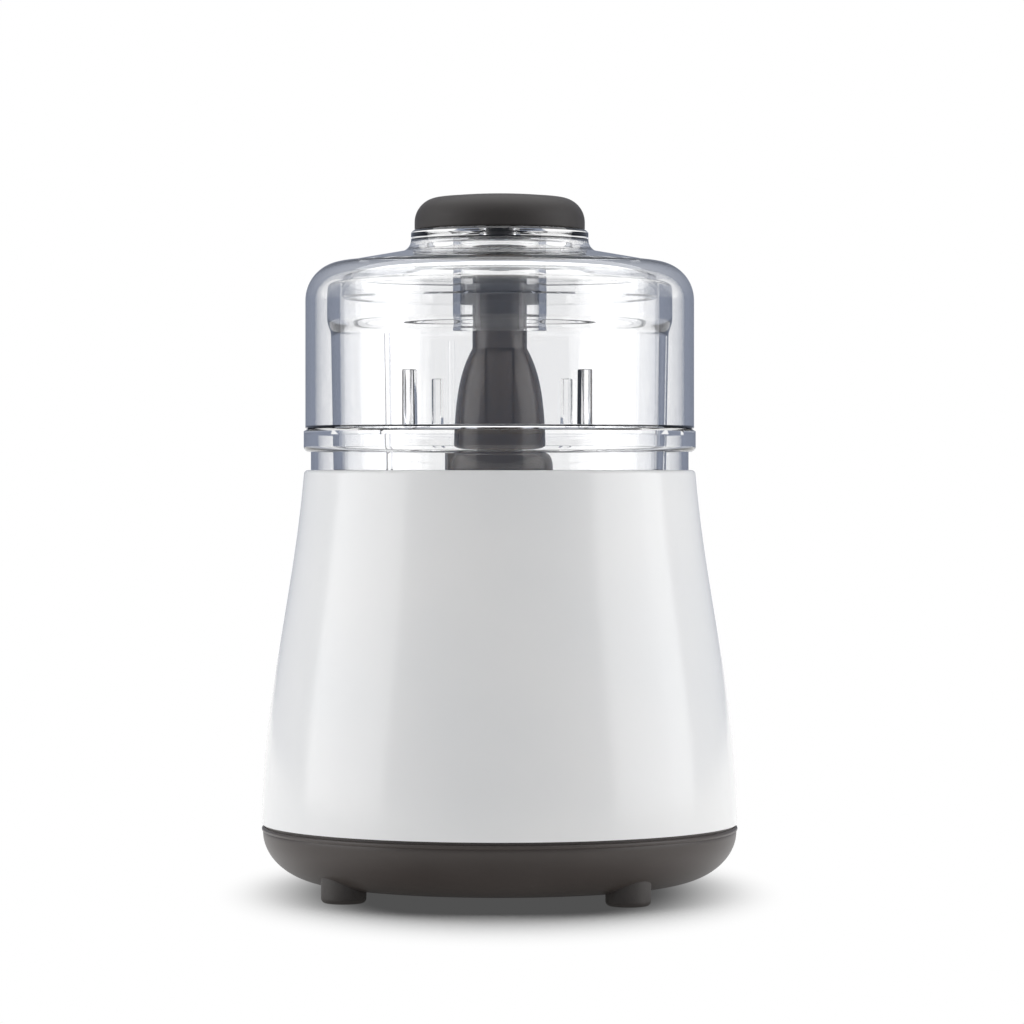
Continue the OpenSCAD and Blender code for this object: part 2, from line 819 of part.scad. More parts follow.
module well_deck() {
    color("whitesmoke") difference() {
        union() {
            intersection() {
                shell_core(shell_wall + easy_gap);
                translate([0, 0, deck_under_z]) cylinder(r = base_r, h = deck_t);
            }
            translate([0, 0, deck_under_z]) cylinder(r = tube_r, h = tube_top_z - deck_under_z);
            damper_places() translate([0, 0, column_z])
                cylinder(r = damper_column_r, h = column_h + over);
            leg_places() translate([0, 0, spring_tube_z])
                cylinder(r = spring_tube_r, h = spring_tube_h + over);
            translate([switch_x - over, switch_y - plate_t, switch_z])
                cube([switch_w + 2 * over, plate_t, deck_under_z + over - switch_z]);
        }
        translate([0, 0, deck_under_z - over])
            cylinder(r = seal_r + fit_gap, h = tube_top_z - tube_lip - deck_under_z + over);
        translate([0, 0, deck_under_z])
            cylinder(r = shaft_r + shaft_room, h = tube_top_z - deck_under_z + over);
        damper_places() translate([0, 0, column_z - over])
            cylinder(r = screw_r + fit_gap, h = damper_screw_l + 2 * over);
        leg_places() {
            translate([0, 0, cap_z - easy_gap])
                cylinder(r = spring_tube_r + easy_gap, h = cap_flange_h + easy_gap);
            translate([0, 0, spring_tube_z - over])
                cylinder(r = spring_bore_r, h = leg_stop_z - spring_tube_z + over);
            translate([0, 0, leg_stop_z - over])
                cylinder(r = leg_r + slide_gap, h = leg_guide_h + 2 * over);
        }
        deck_screw_places() translate([0, 0, deck_under_z - over])
            cylinder(r = screw_r + screw_gap, h = deck_t + 2 * over);
        for (x = switch_screw_x) {
            translate([x, switch_y + over, switch_screw_z]) rotate([90, 0, 0])
                cylinder(r = small_screw_r + fit_gap, h = plate_t + 2 * over);
        }
    }
}

module deck_screws() {
    color("silver") deck_screw_places() translate([0, 0, deck_under_z])
        screw(screw_r, deck_t + deck_screw_l, screw_head_r, screw_head_h);
}

module cord_gland() {
    color("#222222") difference() {
        union() {
            along_y(gland_y, gland_l) slot_outline(gland_r);
            along_y(spigot_r - 2 * easy_gap, gland_flange_t) slot_outline(gland_flange_r);
        }
        along_y(gland_y + over, gland_l + 2 * over) translate([0, gland_z]) circle(r = cord_bore_r);
    }
}

// Motor
module motor_stator() {
    pole_reach = 2 * slot_r;
    color("slategray") translate([0, 0, stack_z]) linear_extrude(height = stack_h) difference() {
        intersection() {
            square(2 * stator_half, center = true);
            circle(r = corner_r);
        }
        circle(r = bore_r);
        difference() {
            circle(r = slot_r);
            for (a = [0, 180]) {
                rotate(a) polygon([
                    [0, 0],
                    pole_reach * [cos(pole_half), -sin(pole_half)],
                    pole_reach * [cos(pole_half), sin(pole_half)]]);
            }
        }
        bolt_places() circle(r = bolt_r + screw_gap);
    }
}

module field_coils() {
    color("peru") for (a = [0, 180]) rotate([0, 0, a]) difference() {
        translate([0, 0, stack_z - coil_end_h])
            sector(slot_r - easy_gap, bore_r + easy_gap, coil_half, stack_h + 2 * coil_end_h);
        translate([0, 0, stack_z - easy_gap])
            sector(slot_r, bore_r, pole_half + coil_turn_gap, stack_h + 2 * easy_gap);
    }
}

// Bracket plate: a disc with four diagonal arms that end in eyes
module spider(disc_r, arm_r, eye_r) {
    linear_extrude(height = bracket_t) {
        circle(r = disc_r);
        around([for (k = [0:3]) damper_turn + 90 * k], arm_r) {
            translate([-arm_r + bearing_r, -arm_w / 2]) square([arm_r - bearing_r, arm_w]);
            circle(r = eye_r);
        }
    }
}

module lower_bracket() {
    color("gainsboro") difference() {
        union() {
            translate([0, 0, motor_z])
                cylinder(r = bearing_r + boss_wall, h = lower_bearing_z + bearing_w - motor_z);
            translate([0, 0, lower_plate_z]) {
                spider(lower_plate_r, bolt_ring_r, bolt_eye_r);
                bolt_places() cylinder(r = post_r, h = stack_z - lower_plate_z);
                around(holder_turns, holder_in_r + holder_wall) translate([0, -brush_w / 2, 0])
                    cube([holder_l - 2 * holder_wall, brush_w, holder_z - lower_plate_z]);
            }
        }
        translate([0, 0, lower_bearing_z]) cylinder(r = bearing_r + fit_gap, h = stack_h);
        bolt_places() cylinder(r = bolt_r + screw_gap, h = stack_top_z);
    }
}

module upper_bracket() {
    color("gainsboro") difference() {
        union() {
            translate([0, 0, upper_bearing_z])
                cylinder(r = bearing_r + boss_wall, h = bearing_w + boss_floor);
            translate([0, 0, upper_plate_z]) spider(upper_plate_r, damper_ring_r, damper_eye_r);
            bolt_places() translate([0, 0, stack_top_z])
                cylinder(r = post_r, h = upper_plate_z + bracket_t / 2 - stack_top_z);
        }
        translate([0, 0, stack_top_z])
            cylinder(r = bearing_r + fit_gap, h = upper_bearing_z + bearing_w - stack_top_z);
        translate([0, 0, upper_bearing_z]) cylinder(r = shaft_r + shaft_room, h = deck_z);
        bolt_places() translate([0, 0, stack_z]) cylinder(r = bolt_r + screw_gap, h = deck_z);
        damper_places() translate([0, 0, stack_z]) cylinder(r = damper_neck_r + fit_gap, h = deck_z);
    }
}

module motor_bolts() {
    color("silver") bolt_places() {
        translate([0, 0, motor_z]) cylinder(r = bolt_head_r, h = bolt_head_h, $fn = 6);
        translate([0, 0, motor_z])
            cylinder(r = bolt_r, h = upper_plate_z + bracket_t + nut_h + over - motor_z);
    }
}

module motor_nuts() {
    color("silver") bolt_places() translate([0, 0, upper_plate_z + bracket_t]) difference() {
        cylinder(r = hex_r(nut_flats), h = nut_h, $fn = 6);
        translate([0, 0, -over]) cylinder(r = bolt_r + fit_gap, h = nut_h + 2 * over);
    }
}

module lower_bearing() {
    color("lightsteelblue") translate([0, 0, lower_bearing_z])
        ring(bearing_r, shaft_r + run_gap, bearing_w);
}

module upper_bearing() {
    color("lightsteelblue") translate([0, 0, upper_bearing_z])
        ring(bearing_r, shaft_r + run_gap, bearing_w);
}

module brush_holders() {
    color("khaki") around(holder_turns, holder_in_r) difference() {
        translate([0, -brush_w / 2 - holder_wall, holder_z])
            cube([holder_l, brush_w + 2 * holder_wall, brush_h + 2 * holder_wall]);
        translate([-over, -brush_w / 2 - screw_gap, brush_z - brush_h / 2 - screw_gap])
            cube([holder_l - holder_wall + over, brush_w + 2 * screw_gap, brush_h + 2 * screw_gap]);
    }
}

module carbon_brushes() {
    color("#2b2b2b") around(holder_turns, commutator_r + easy_gap)
        translate([0, -brush_w / 2, brush_z - brush_h / 2]) cube([brush_l, brush_w, brush_h]);
}

module brush_springs() {
    spring_from = commutator_r + brush_l + 2 * easy_gap;
    spring_to = holder_in_r + holder_l - holder_wall - easy_gap;
    color("silver") around(holder_turns, spring_from) translate([0, 0, brush_z]) rotate([0, 90, 0])
        coil(brush_spring_r, brush_wire_r, brush_spring_turns, spring_to - spring_from);
}

module motor_dampers() {
    color("#2f2f2f") damper_places() translate([0, 0, upper_plate_z - damper_flange_h]) difference() {
        union() {
            cylinder(r = damper_r, h = damper_flange_h);
            cylinder(r = damper_neck_r, h = bracket_t + 2 * damper_flange_h);
            translate([0, 0, damper_flange_h + bracket_t]) cylinder(r = damper_r, h = damper_flange_h);
        }
        translate([0, 0, -over])
            cylinder(r = screw_r + easy_gap, h = bracket_t + 2 * damper_flange_h + 2 * over);
    }
}

module damper_screws() {
    color("silver") damper_places() translate([0, 0, upper_plate_z - damper_flange_h])
        screw(screw_r, bracket_t + 2 * damper_flange_h + damper_screw_l, damper_neck_r, screw_head_h);
}

module shaft_seal() {
    color("#552222") translate([0, 0, tube_top_z - tube_lip - seal_h])
        ring(seal_r, shaft_r + run_gap, seal_h);
}

// Rotor
module motor_shaft() {
    color("silver") translate([0, 0, lower_bearing_z + easy_gap])
        cylinder(r = shaft_r, h = dog_top_z - dog_cap - lower_bearing_z - 2 * easy_gap);
}

module armature_core() {
    color("slategray") translate([0, 0, stack_z]) linear_extrude(height = stack_h) difference() {
        circle(r = armature_r);
        circle(r = shaft_r + fit_gap);
        for (k = [0:armature_slots - 1]) {
            rotate(360 * k / armature_slots) translate([armature_r / 2, -armature_slot_w / 2])
                square([armature_r, armature_slot_w]);
        }
    }
}

module armature_windings() {
    winding_in_r = shaft_r + 2;
    winding_out_r = armature_r - 1.5;
    bulge = winding_h / 3;
    color("chocolate") for (side = [0, 1]) {
        translate([0, 0, side == 0 ? stack_z : stack_top_z]) mirror([0, 0, 1 - side]) rotate_extrude()
            polygon(concat(
                [[winding_in_r, 0], [winding_out_r, 0]],
                arc([winding_out_r - bulge, winding_h - easy_gap - bulge], bulge, 0, 90),
                [[winding_in_r, winding_h - easy_gap]]));
    }
}

module commutator() {
    bar_gap = 0.6;
    bar_depth = 1;
    color("goldenrod") translate([0, 0, commutator_z]) linear_extrude(height = commutator_h) difference() {
        circle(r = commutator_r);
        circle(r = shaft_r + fit_gap);
        for (k = [0:commutator_bars - 1]) {
            rotate(360 * k / commutator_bars) translate([commutator_r - bar_depth, -bar_gap / 2])
                square([2 * bar_depth, bar_gap]);
        }
    }
}

module cooling_fan() {
    fan_hub_r = shaft_r + 4;
    fan_plate_t = 1.5;
    fan_blade_t = 1.6;
    fan_blades = 11;
    color("#444444") translate([0, 0, fan_z]) difference() {
        union() {
            cylinder(r = fan_r, h = fan_plate_t);
            cylinder(r = fan_hub_r, h = fan_h);
            for (k = [0:fan_blades - 1]) {
                rotate([0, 0, 360 * k / fan_blades]) translate([fan_hub_r - over, -fan_blade_t / 2, 0])
                    cube([fan_r - fan_hub_r, fan_blade_t, fan_h]);
            }
        }
        translate([0, 0, -over]) cylinder(r = shaft_r + fit_gap, h = fan_h + 2 * over);
    }
}

module drive_dog() {
    dog_edge = 1.5;
    dog_r = hex_r(dog_flats);
    color("dimgray") translate([0, 0, dog_z]) difference() {
        intersection() {
            cylinder(r = dog_r, h = dog_h, $fn = 6);
            rotate_extrude() polygon([
                [0, 0], [dog_r + over, 0], [dog_r + over, dog_h - dog_edge - over],
                [dog_r - dog_edge, dog_h], [0, dog_h]]);
        }
        translate([0, 0, -over]) cylinder(r = shaft_r + fit_gap, h = dog_h - dog_cap + over);
    }
}

// Press seat and switch
module press_ring() {
    color("gainsboro") {
        translate([0, 0, seat_z]) ring(leg_ring_r + seat_half_w, leg_ring_r - seat_half_w, seat_t);
        leg_places() {
            translate([0, 0, leg_end_z]) cylinder(r = leg_r, h = seat_z + over - leg_end_z);
            translate([0, 0, tail_z]) cylinder(r1 = tip_r, r2 = tail_r, h = tip_h);
            translate([0, 0, tail_z + tip_h]) cylinder(r = tail_r, h = leg_end_z + over - tail_z - tip_h);
        }
    }
}

module press_collars() {
    color("darkgray") leg_places() translate([0, 0, leg_end_z])
        ring(collar_out_r, leg_r + fit_gap, collar_t - fit_gap);
}

module press_springs() {
    color("silver") leg_places() translate([0, 0, spring_z])
        coil(spring_r, spring_wire_r, spring_turns, spring_top_z - spring_z);
}

module spring_caps() {
    color("gray") leg_places() {
        translate([0, 0, cap_z]) ring(spring_tube_r, tail_r + easy_gap, cap_flange_h);
        translate([0, 0, spring_tube_z - over])
            ring(spring_bore_r - fit_gap, tail_r + easy_gap, cap_plug_h + over);
    }
}

module micro_switch() {
    tab_w = 5;
    tab_t = 0.8;
    tab_l = 6;
    color("#20242c") difference() {
        union() {
            translate([switch_x, switch_y, switch_z]) cube([switch_w, switch_d, switch_h]);
            for (y = [switch_y, switch_y + switch_d - ear_t]) {
                translate([pivot_x, y + ear_t, pivot_z]) rotate([90, 0, 0]) cylinder(r = ear_r, h = ear_t);
                translate([pivot_x - ear_r, y, switch_top_z - over])
                    cube([2 * ear_r, ear_t, pivot_z - switch_top_z + over]);
            }
            for (k = [0:2]) {
                translate([switch_x + switch_w * (k + 0.5) / 3 - tab_w / 2, leg_ring_r, switch_z - tab_l])
                    cube([tab_w, tab_t, tab_l + over]);
            }
        }
        translate([pivot_x, switch_y + switch_d + over, pivot_z]) rotate([90, 0, 0])
            cylinder(r = pin_r + fit_gap, h = switch_d + 2 * over);
        for (x = switch_screw_x) {
            translate([x, switch_y + switch_d + over, switch_screw_z]) rotate([90, 0, 0])
                cylinder(r = small_screw_r + screw_gap, h = switch_d + 2 * over);
        }
        translate([button_x, leg_ring_r, button_top_z - button_l - button_travel - easy_gap])
            cylinder(r = button_r + slide_gap, h = button_l + button_travel + over);
    }
}

module switch_screws() {
    color("silver") for (x = switch_screw_x) {
        translate([x, switch_y + switch_d, switch_screw_z]) rotate([90, 0, 0])
            screw(small_screw_r, switch_d + plate_t, small_head_r, small_head_h);
    }
}

module switch_button() {
    color("crimson") translate([button_x, leg_ring_r, button_top_z - button_l])
        cylinder(r = button_r, h = button_l);
}

module switch_lever() {
    color("silver") translate([pivot_x, leg_ring_r, pivot_z]) rotate([0, -lever_angle, 0]) difference() {
        union() {
            translate([0, -lever_w / 2, -lever_t / 2]) cube([lever_arm + lever_over, lever_w, lever_t]);
            translate([0, lever_w / 2, 0]) rotate([90, 0, 0]) cylinder(r = barrel_r, h = lever_w);
        }
        translate([0, lever_w / 2 + over, 0]) rotate([90, 0, 0])
            cylinder(r = pin_r + run_gap, h = lever_w + 2 * over);
    }
}

module lever_pin() {
    color("gray") translate([pivot_x, switch_y + switch_d, pivot_z]) rotate([90, 0, 0])
        cylinder(r = pin_r, h = switch_d);
}

// Electrical pieces on the pan
module terminal_block() {
    color("ivory") difference() {
        translate([0, block_y, pan_boss_z]) {
            translate([-block_w / 2, -block_d / 2, 0]) cube([block_w, block_d, block_base_h]);
            for (x = [-1, 1]) {
                translate([x * (block_tower_w / 2 + 0.5) - block_tower_w / 2, -block_d / 2, 0])
                    cube([block_tower_w, block_d, block_base_h + block_tower_h]);
            }
        }
        block_screw_places() translate([0, 0, -over])
            cylinder(r = small_screw_r + screw_gap, h = block_base_h + 2 * over);
    }
}

module suppressor() {
    color("khaki") translate([suppressor_x, suppressor_l / 2, pan_in_z + suppressor_r]) rotate([90, 0, 0])
        rotate_extrude() polygon([
            [0, 0], [suppressor_r - suppressor_edge, 0], [suppressor_r, suppressor_edge],
            [suppressor_r, suppressor_l - suppressor_edge],
            [suppressor_r - suppressor_edge, suppressor_l], [0, suppressor_l]]);
}

module suppressor_strap() {
    strap_r = suppressor_r + screw_gap + strap_t;
    color("silver") translate([suppressor_x, 0, 0]) difference() {
        union() {
            intersection() {
                translate([0, strap_w / 2, pan_in_z + suppressor_r]) rotate([90, 0, 0])
                    cylinder(r = strap_r, h = strap_w);
                translate([-strap_r, -strap_w / 2, pan_boss_z])
                    cube([2 * strap_r, strap_w, 2 * strap_r]);
            }
            translate([-strap_reach - strap_foot, -strap_w / 2, pan_boss_z])
                cube([2 * strap_reach + 2 * strap_foot, strap_w, strap_t]);
        }
        translate([0, strap_w, pan_in_z + suppressor_r]) rotate([90, 0, 0])
            cylinder(r = suppressor_r + screw_gap, h = 2 * strap_w);
        for (x = [-strap_reach, strap_reach]) {
            translate([x, 0, pan_boss_z - over])
                cylinder(r = small_screw_r + screw_gap, h = strap_t + 2 * over);
        }
    }
}

module pan_screws() {
    color("silver") {
        block_screw_places() translate([0, 0, block_base_h]) mirror([0, 0, 1])
            screw(small_screw_r, block_base_h + pan_screw_l, small_head_r, small_head_h);
        strap_screw_places() translate([0, 0, strap_t]) mirror([0, 0, 1])
            screw(small_screw_r, strap_t + pan_screw_l, small_head_r, small_head_h);
    }
}

// Bowl
module bowl() {
    corner_in = floor_corner - bowl_wall / 2;
    out_top = [[bowl_wall_r, lip_z], [lip_r, lip_z + lip_ramp]];
    floor_in_r = post_out_r + fit_gap;
    color("lightcyan", 0.4) {
        rotate_extrude() polygon(concat(
            [[floor_in_r, bowl_under_z]],
            arc([bowl_foot_r - floor_corner, bowl_under_z + floor_corner], floor_corner, -90, 0),
            out_top,
            arc([lip_r - rim_edge, bowl_rim_z - rim_edge], rim_edge, 0, 90),
            [[bowl_wall_r - bowl_wall, bowl_rim_z], [bowl_wall_r - bowl_wall, lip_z]],
            arc([bowl_foot_r - bowl_wall - corner_in, bowl_floor_z + corner_in], corner_in, 0, -90),
            [[floor_in_r, bowl_floor_z]]));
        translate([0, 0, bowl_foot_z])
            ring(leg_ring_r + seat_half_w - easy_gap, leg_ring_r - seat_half_w, foot_ring_h + over);
    }
}

module bowl_post() {
    color("lightcyan", 0.4) translate([0, 0, bowl_under_z])
        ring(post_out_r, post_in_r, post_top_z - bowl_under_z);
}

module gusset(turn, h) {
    top_z = flange_z + h;
    rotate([0, 0, turn]) translate([0, gusset_w / 2, 0]) rotate([90, 0, 0])
        linear_extrude(height = gusset_w) polygon([
            [bowl_out_r(flange_z) + fit_gap, flange_z - over], [gusset_out_r, flange_z - over],
            [gusset_out_r, top_z], [bowl_out_r(top_z) + fit_gap, top_z]]);
}

module bowl_flange() {
    under_z = flange_z - flange_t;
    color("lightcyan", 0.4) {
        rotate_extrude() polygon(concat(
            [[bowl_out_r(flange_z) + fit_gap, flange_z], [seat_out_r, flange_z], [band_r, bevel_z]],
            arc([band_r - band_round, band_z + band_round], band_round, 0, -90),
            [[skirt_r, band_z], [skirt_r, skirt_z], [skirt_r - skirt_wall, skirt_z],
             [skirt_r - skirt_wall, under_z], [bowl_out_r(under_z) + fit_gap, under_z]]));
        for (side = [-1, 1]) {
            gusset(bowl_turn - 90 + side * front_gusset_turn, front_gusset_h);
            gusset(bowl_turn + 90 + side * back_gusset_turn, back_gusset_h);
        }
    }
}

module bowl_ribs() {
    foot_in_r = bowl_foot_r - bowl_wall - fit_gap;
    top_in_r = bowl_wall_r - bowl_wall - fit_gap;
    foot_z = bowl_floor_z + rib_foot;
    lean = atan((top_in_r - foot_in_r) / (rib_top_z - foot_z));
    color("lightcyan", 0.4) intersection() {
        rotate_extrude($fn = rib_ring_sides) polygon([
            [foot_in_r - rib_depth, foot_z], [foot_in_r, foot_z],
            [top_in_r, rib_top_z], [top_in_r - rib_depth, rib_top_z]]);
        around(rib_turns, foot_in_r) translate([0, 0, foot_z]) rotate([0, lean, 0])
            translate([0, 0, -rib_w]) cylinder(r = rib_w / 2, h = rib_top_z - foot_z + 2 * rib_w);
    }
}

// Blade
module hub_body(inset) {
    rotate_extrude() polygon(concat([[0, hub_z]], hub_curve(inset)));
}

module front_and_back() {
    for (a = [0, 180]) rotate([0, 0, a]) children();
}

module hub_shape() {
    channel_z = arch_top_z - over;
    difference() {
        union() {
            difference() {
                hub_body(0);
                front_and_back() difference() {
                    translate([-channel_w / 2, -collar_r, channel_z])
                        cube([channel_w, collar_r, neck_z - channel_z]);
                    hub_body(channel_depth);
                }
            }
            intersection() {
                hub_body(-arch_depth);
                translate([0, 0, hub_z]) cylinder(r = collar_r, h = arch_top_z - hub_z);
                front_and_back() along_y(0, collar_r) {
                    translate([-arch_w / 2, hub_z]) square([arch_w, arch_top_z - arch_corner - hub_z]);
                    translate([-arch_w / 2 + arch_corner, hub_z])
                        square([arch_w - 2 * arch_corner, arch_top_z - hub_z]);
                    for (side = [-1, 1])
                        translate([side * (arch_w / 2 - arch_corner), arch_top_z - arch_corner])
                            circle(r = arch_corner);
                }
            }
            intersection() {
                translate([0, 0, collar_top_z - lug_h]) cylinder(r = collar_r + lug_reach, h = lug_h);
                translate([-2 * collar_r, -lug_w / 2, collar_top_z - lug_h])
                    cube([2 * collar_r, lug_w, lug_h]);
            }
        }
        translate([0, 0, hub_z - over]) cylinder(r = hub_bore_r, h = socket_z - hub_z + over);
        translate([0, 0, socket_z - over]) cylinder(r = socket_r + fit_gap, h = socket_h + over);
        translate([0, 0, socket_z]) cylinder(r = hub_core_r, h = hub_top_z - hub_roof - socket_z);
        blade_screw_places() translate([0, 0, clamp_z])
            cylinder(r = blade_screw_r + fit_gap, h = blade_screw_l + over);
    }
}

module blade_hub() {
    color("#3c3a38") intersection() {
        hub_shape();
        cylinder(r = 2 * collar_r, h = hub_split_z);
    }
}

module hub_neck() {
    color("#3c3a38") difference() {
        hub_shape();
        cylinder(r = 2 * collar_r, h = hub_split_z);
    }
}

module drive_socket() {
    color("silver") translate([0, 0, socket_z]) difference() {
        cylinder(r = socket_r, h = socket_h);
        translate([0, 0, -over])
            cylinder(r = hex_r(dog_flats + 2 * socket_gap), h = socket_h + 2 * over, $fn = 6);
    }
}

module blade_plate() {
    linear_extrude(height = blade_t) difference() {
        union() {
            circle(r = collar_r - easy_gap);
            polygon(blade_outline());
        }
        circle(r = hub_bore_r);
        blade_screw_places() circle(r = blade_screw_r + fit_gap);
    }
}

module upper_blade() {
    color("silver") translate([0, 0, upper_blade_z]) difference() {
        rotate([0, 0, 180]) blade_plate();
        blade_screw_places() translate([0, 0, -over])
            cylinder(r = blade_screw_r + fit_gap, h = blade_t + 2 * over);
    }
}

module lower_blade() {
    color("silver") translate([0, 0, lower_blade_z]) blade_plate();
}

module blade_spacer() {
    color("#3c3a38") translate([0, 0, spacer_z]) difference() {
        ring(collar_r, hub_bore_r, spacer_h);
        blade_screw_places() translate([0, 0, -over])
            cylinder(r = blade_screw_r + fit_gap, h = spacer_h + 2 * over);
    }
}

module blade_clamp_ring() {
    color("#3c3a38") translate([0, 0, clamp_z]) difference() {
        ring(collar_r, hub_bore_r, clamp_h);
        blade_screw_places() {
            translate([0, 0, -over]) cylinder(r = blade_screw_r + fit_gap, h = clamp_h + 2 * over);
            translate([0, 0, -over]) cylinder(r = blade_head_r + fit_gap, h = blade_head_h + over);
        }
    }
}

module blade_screws() {
    color("gray") blade_screw_places() translate([0, 0, clamp_z]) {
        cylinder(r = blade_head_r, h = blade_head_h);
        cylinder(r = blade_screw_r, h = blade_screw_l);
    }
}

// Lid
module lid_dome() {
    neck_in_r = lid_neck_r - lid_wall;
    foot_r_out = lid_neck_r + neck_fillet;
    color("lightcyan", 0.4) rotate_extrude() polygon(concat(
        [[seat_in_r, flange_z], [seat_out_r, flange_z], [lid_r, lid_edge_z]],
        arc([top_in_r, shoulder_z], shoulder_r, 0, 90),
        arc([foot_r_out, neck_foot_z + neck_fillet], neck_fillet, 270, 180),
        [[lid_neck_r, neck_top_z - neck_edge], [lid_neck_r - neck_edge, neck_top_z],
         [neck_hole_r, neck_top_z], [neck_hole_r, plate_under_z], [neck_in_r, plate_under_z],
         [neck_in_r, neck_foot_z + neck_fillet - lid_wall], [foot_r_out, neck_foot_z - lid_wall]],
        arc([top_in_r, shoulder_z], shoulder_r - lid_wall, 90, 0)));
}

module lid_collar() {
    color("lightcyan", 0.4) translate([0, 0, lid_collar_z])
        ring(lid_collar_r, lid_collar_in_r, plate_under_z - lid_collar_z);
}

module lid_plug() {
    color("lightcyan", 0.4) translate([0, 0, plug_z])
        ring(plug_r, plug_r - plug_wall, plug_top_z - plug_z);
}

module lid_knob() {
    edge = 0.8;
    crown_r = knob_r - knob_round;
    crown_z = knob_top_z - knob_crown;
    color("#33302f") difference() {
        union() {
            rotate_extrude() difference() {
                polygon(concat(
                    [[0, knob_z], [knob_r - edge, knob_z], [knob_r, knob_z + edge]],
                    arc([crown_r, crown_z - knob_round], knob_round, 0, 90),
                    [for (i = [1:arc_steps])
                        let (u = 1 - i / arc_steps)
                        [crown_r * u, knob_top_z - knob_crown * u * u]]));
                polygon(concat(
                    [[knob_boss_r, knob_z - over], [knob_r - knob_wall, knob_z - over]],
                    arc([crown_r, crown_z - knob_round], knob_round - knob_wall, 0, 90),
                    [[knob_boss_r, crown_z - knob_wall]]));
            }
            translate([0, 0, plate_under_z]) cylinder(r = knob_spigot_r, h = neck_plate_t + over);
        }
        translate([0, 0, plate_under_z - over])
            cylinder(r = knob_screw_r + fit_gap, h = knob_screw_l + over);
    }
}

module knob_retainer() {
    color("#33302f") translate([0, 0, retainer_z])
        ring(retainer_r, knob_screw_r + screw_gap, retainer_h);
}

module knob_screw() {
    color("silver") translate([0, 0, retainer_z])
        screw(knob_screw_r, retainer_h + knob_screw_l - over, screw_head_r, screw_head_h);
}

housing_shell();
housing_mouth();
housing_bosses();
base_pan();
feet();
base_screws();
well_deck();
deck_screws();
cord_gland();
motor_stator();
field_coils();
lower_bracket();
upper_bracket();
motor_bolts();
motor_nuts();
lower_bearing();
upper_bearing();
brush_holders();
carbon_brushes();
brush_springs();
motor_dampers();
damper_screws();
shaft_seal();
motor_shaft();
armature_core();
armature_windings();
commutator();
cooling_fan();
drive_dog();
press_ring();
press_collars();
press_springs();
spring_caps();
micro_switch();
switch_screws();
switch_button();
switch_lever();
lever_pin();
terminal_block();
suppressor();
suppressor_strap();
pan_screws();
bowl();
bowl_post();
bowl_flange();
bowl_ribs();
blade_hub();
hub_neck();
drive_socket();
upper_blade();
lower_blade();
blade_spacer();
blade_clamp_ring();
blade_screws();
lid_dome();
lid_collar();
lid_plug();
lid_knob();
knob_retainer();
knob_screw();
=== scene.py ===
"""Electric food chopper: glossy white motor base, clear bowl and lid, dark blade hub and knob."""

import math

import bpy
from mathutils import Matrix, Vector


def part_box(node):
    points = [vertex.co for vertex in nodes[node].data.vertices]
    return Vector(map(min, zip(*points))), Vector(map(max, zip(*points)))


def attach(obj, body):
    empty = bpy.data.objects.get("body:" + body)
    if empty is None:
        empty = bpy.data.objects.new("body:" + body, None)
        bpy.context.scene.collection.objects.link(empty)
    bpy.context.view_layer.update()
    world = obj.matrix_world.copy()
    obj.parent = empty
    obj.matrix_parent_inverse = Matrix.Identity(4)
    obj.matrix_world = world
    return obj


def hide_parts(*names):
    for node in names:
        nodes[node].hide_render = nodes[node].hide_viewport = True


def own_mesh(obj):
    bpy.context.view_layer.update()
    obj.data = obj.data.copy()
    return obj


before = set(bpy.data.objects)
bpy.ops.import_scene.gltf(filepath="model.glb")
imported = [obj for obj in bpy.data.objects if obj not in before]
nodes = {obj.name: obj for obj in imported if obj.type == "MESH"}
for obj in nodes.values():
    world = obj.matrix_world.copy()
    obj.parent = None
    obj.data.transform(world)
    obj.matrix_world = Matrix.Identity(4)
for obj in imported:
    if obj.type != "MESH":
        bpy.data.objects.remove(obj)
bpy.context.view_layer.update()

MM = 0.001

# Modelling: steps in a full turn, the angle up to which faces shade smooth, how far a holding edge
# lies from a corner, and how close points are merged
TURN_STEPS = 160
SMOOTH_ANGLE = math.radians(32)
HOLD = 0.35 * MM
MERGE = 0.002 * MM

# Edges and rounds that several mouldings share
EDGE = 0.6 * MM
FINE_EDGE = 0.4 * MM
LIP_ROUND = 1.0 * MM

# Levels and radii of the solids, from the frame's boxes
RIM_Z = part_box("housing_mouth")[1].z
BASE_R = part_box("housing_shell")[1].x
SEAT_TOP_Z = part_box("press_ring")[1].z
SKIRT_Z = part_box("bowl_flange")[0].z
BAND_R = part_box("bowl_flange")[1].x
BOWL_RIM_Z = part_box("bowl")[1].z
RIM_OVER_FLANGE = 51.8 * MM
FLANGE_Z = BOWL_RIM_Z - RIM_OVER_FLANGE
LID_EDGE_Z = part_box("lid_dome")[0].z
NECK_TOP_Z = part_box("lid_dome")[1].z
KNOB_TOP_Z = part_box("lid_knob")[1].z
KNOB_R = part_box("lid_knob")[1].x
HUB_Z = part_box("blade_hub")[0].z
HUB_TOP_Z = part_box("hub_neck")[1].z
COLLAR_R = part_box("blade_spacer")[1].x
FOOT_TOP_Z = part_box("feet")[1].z

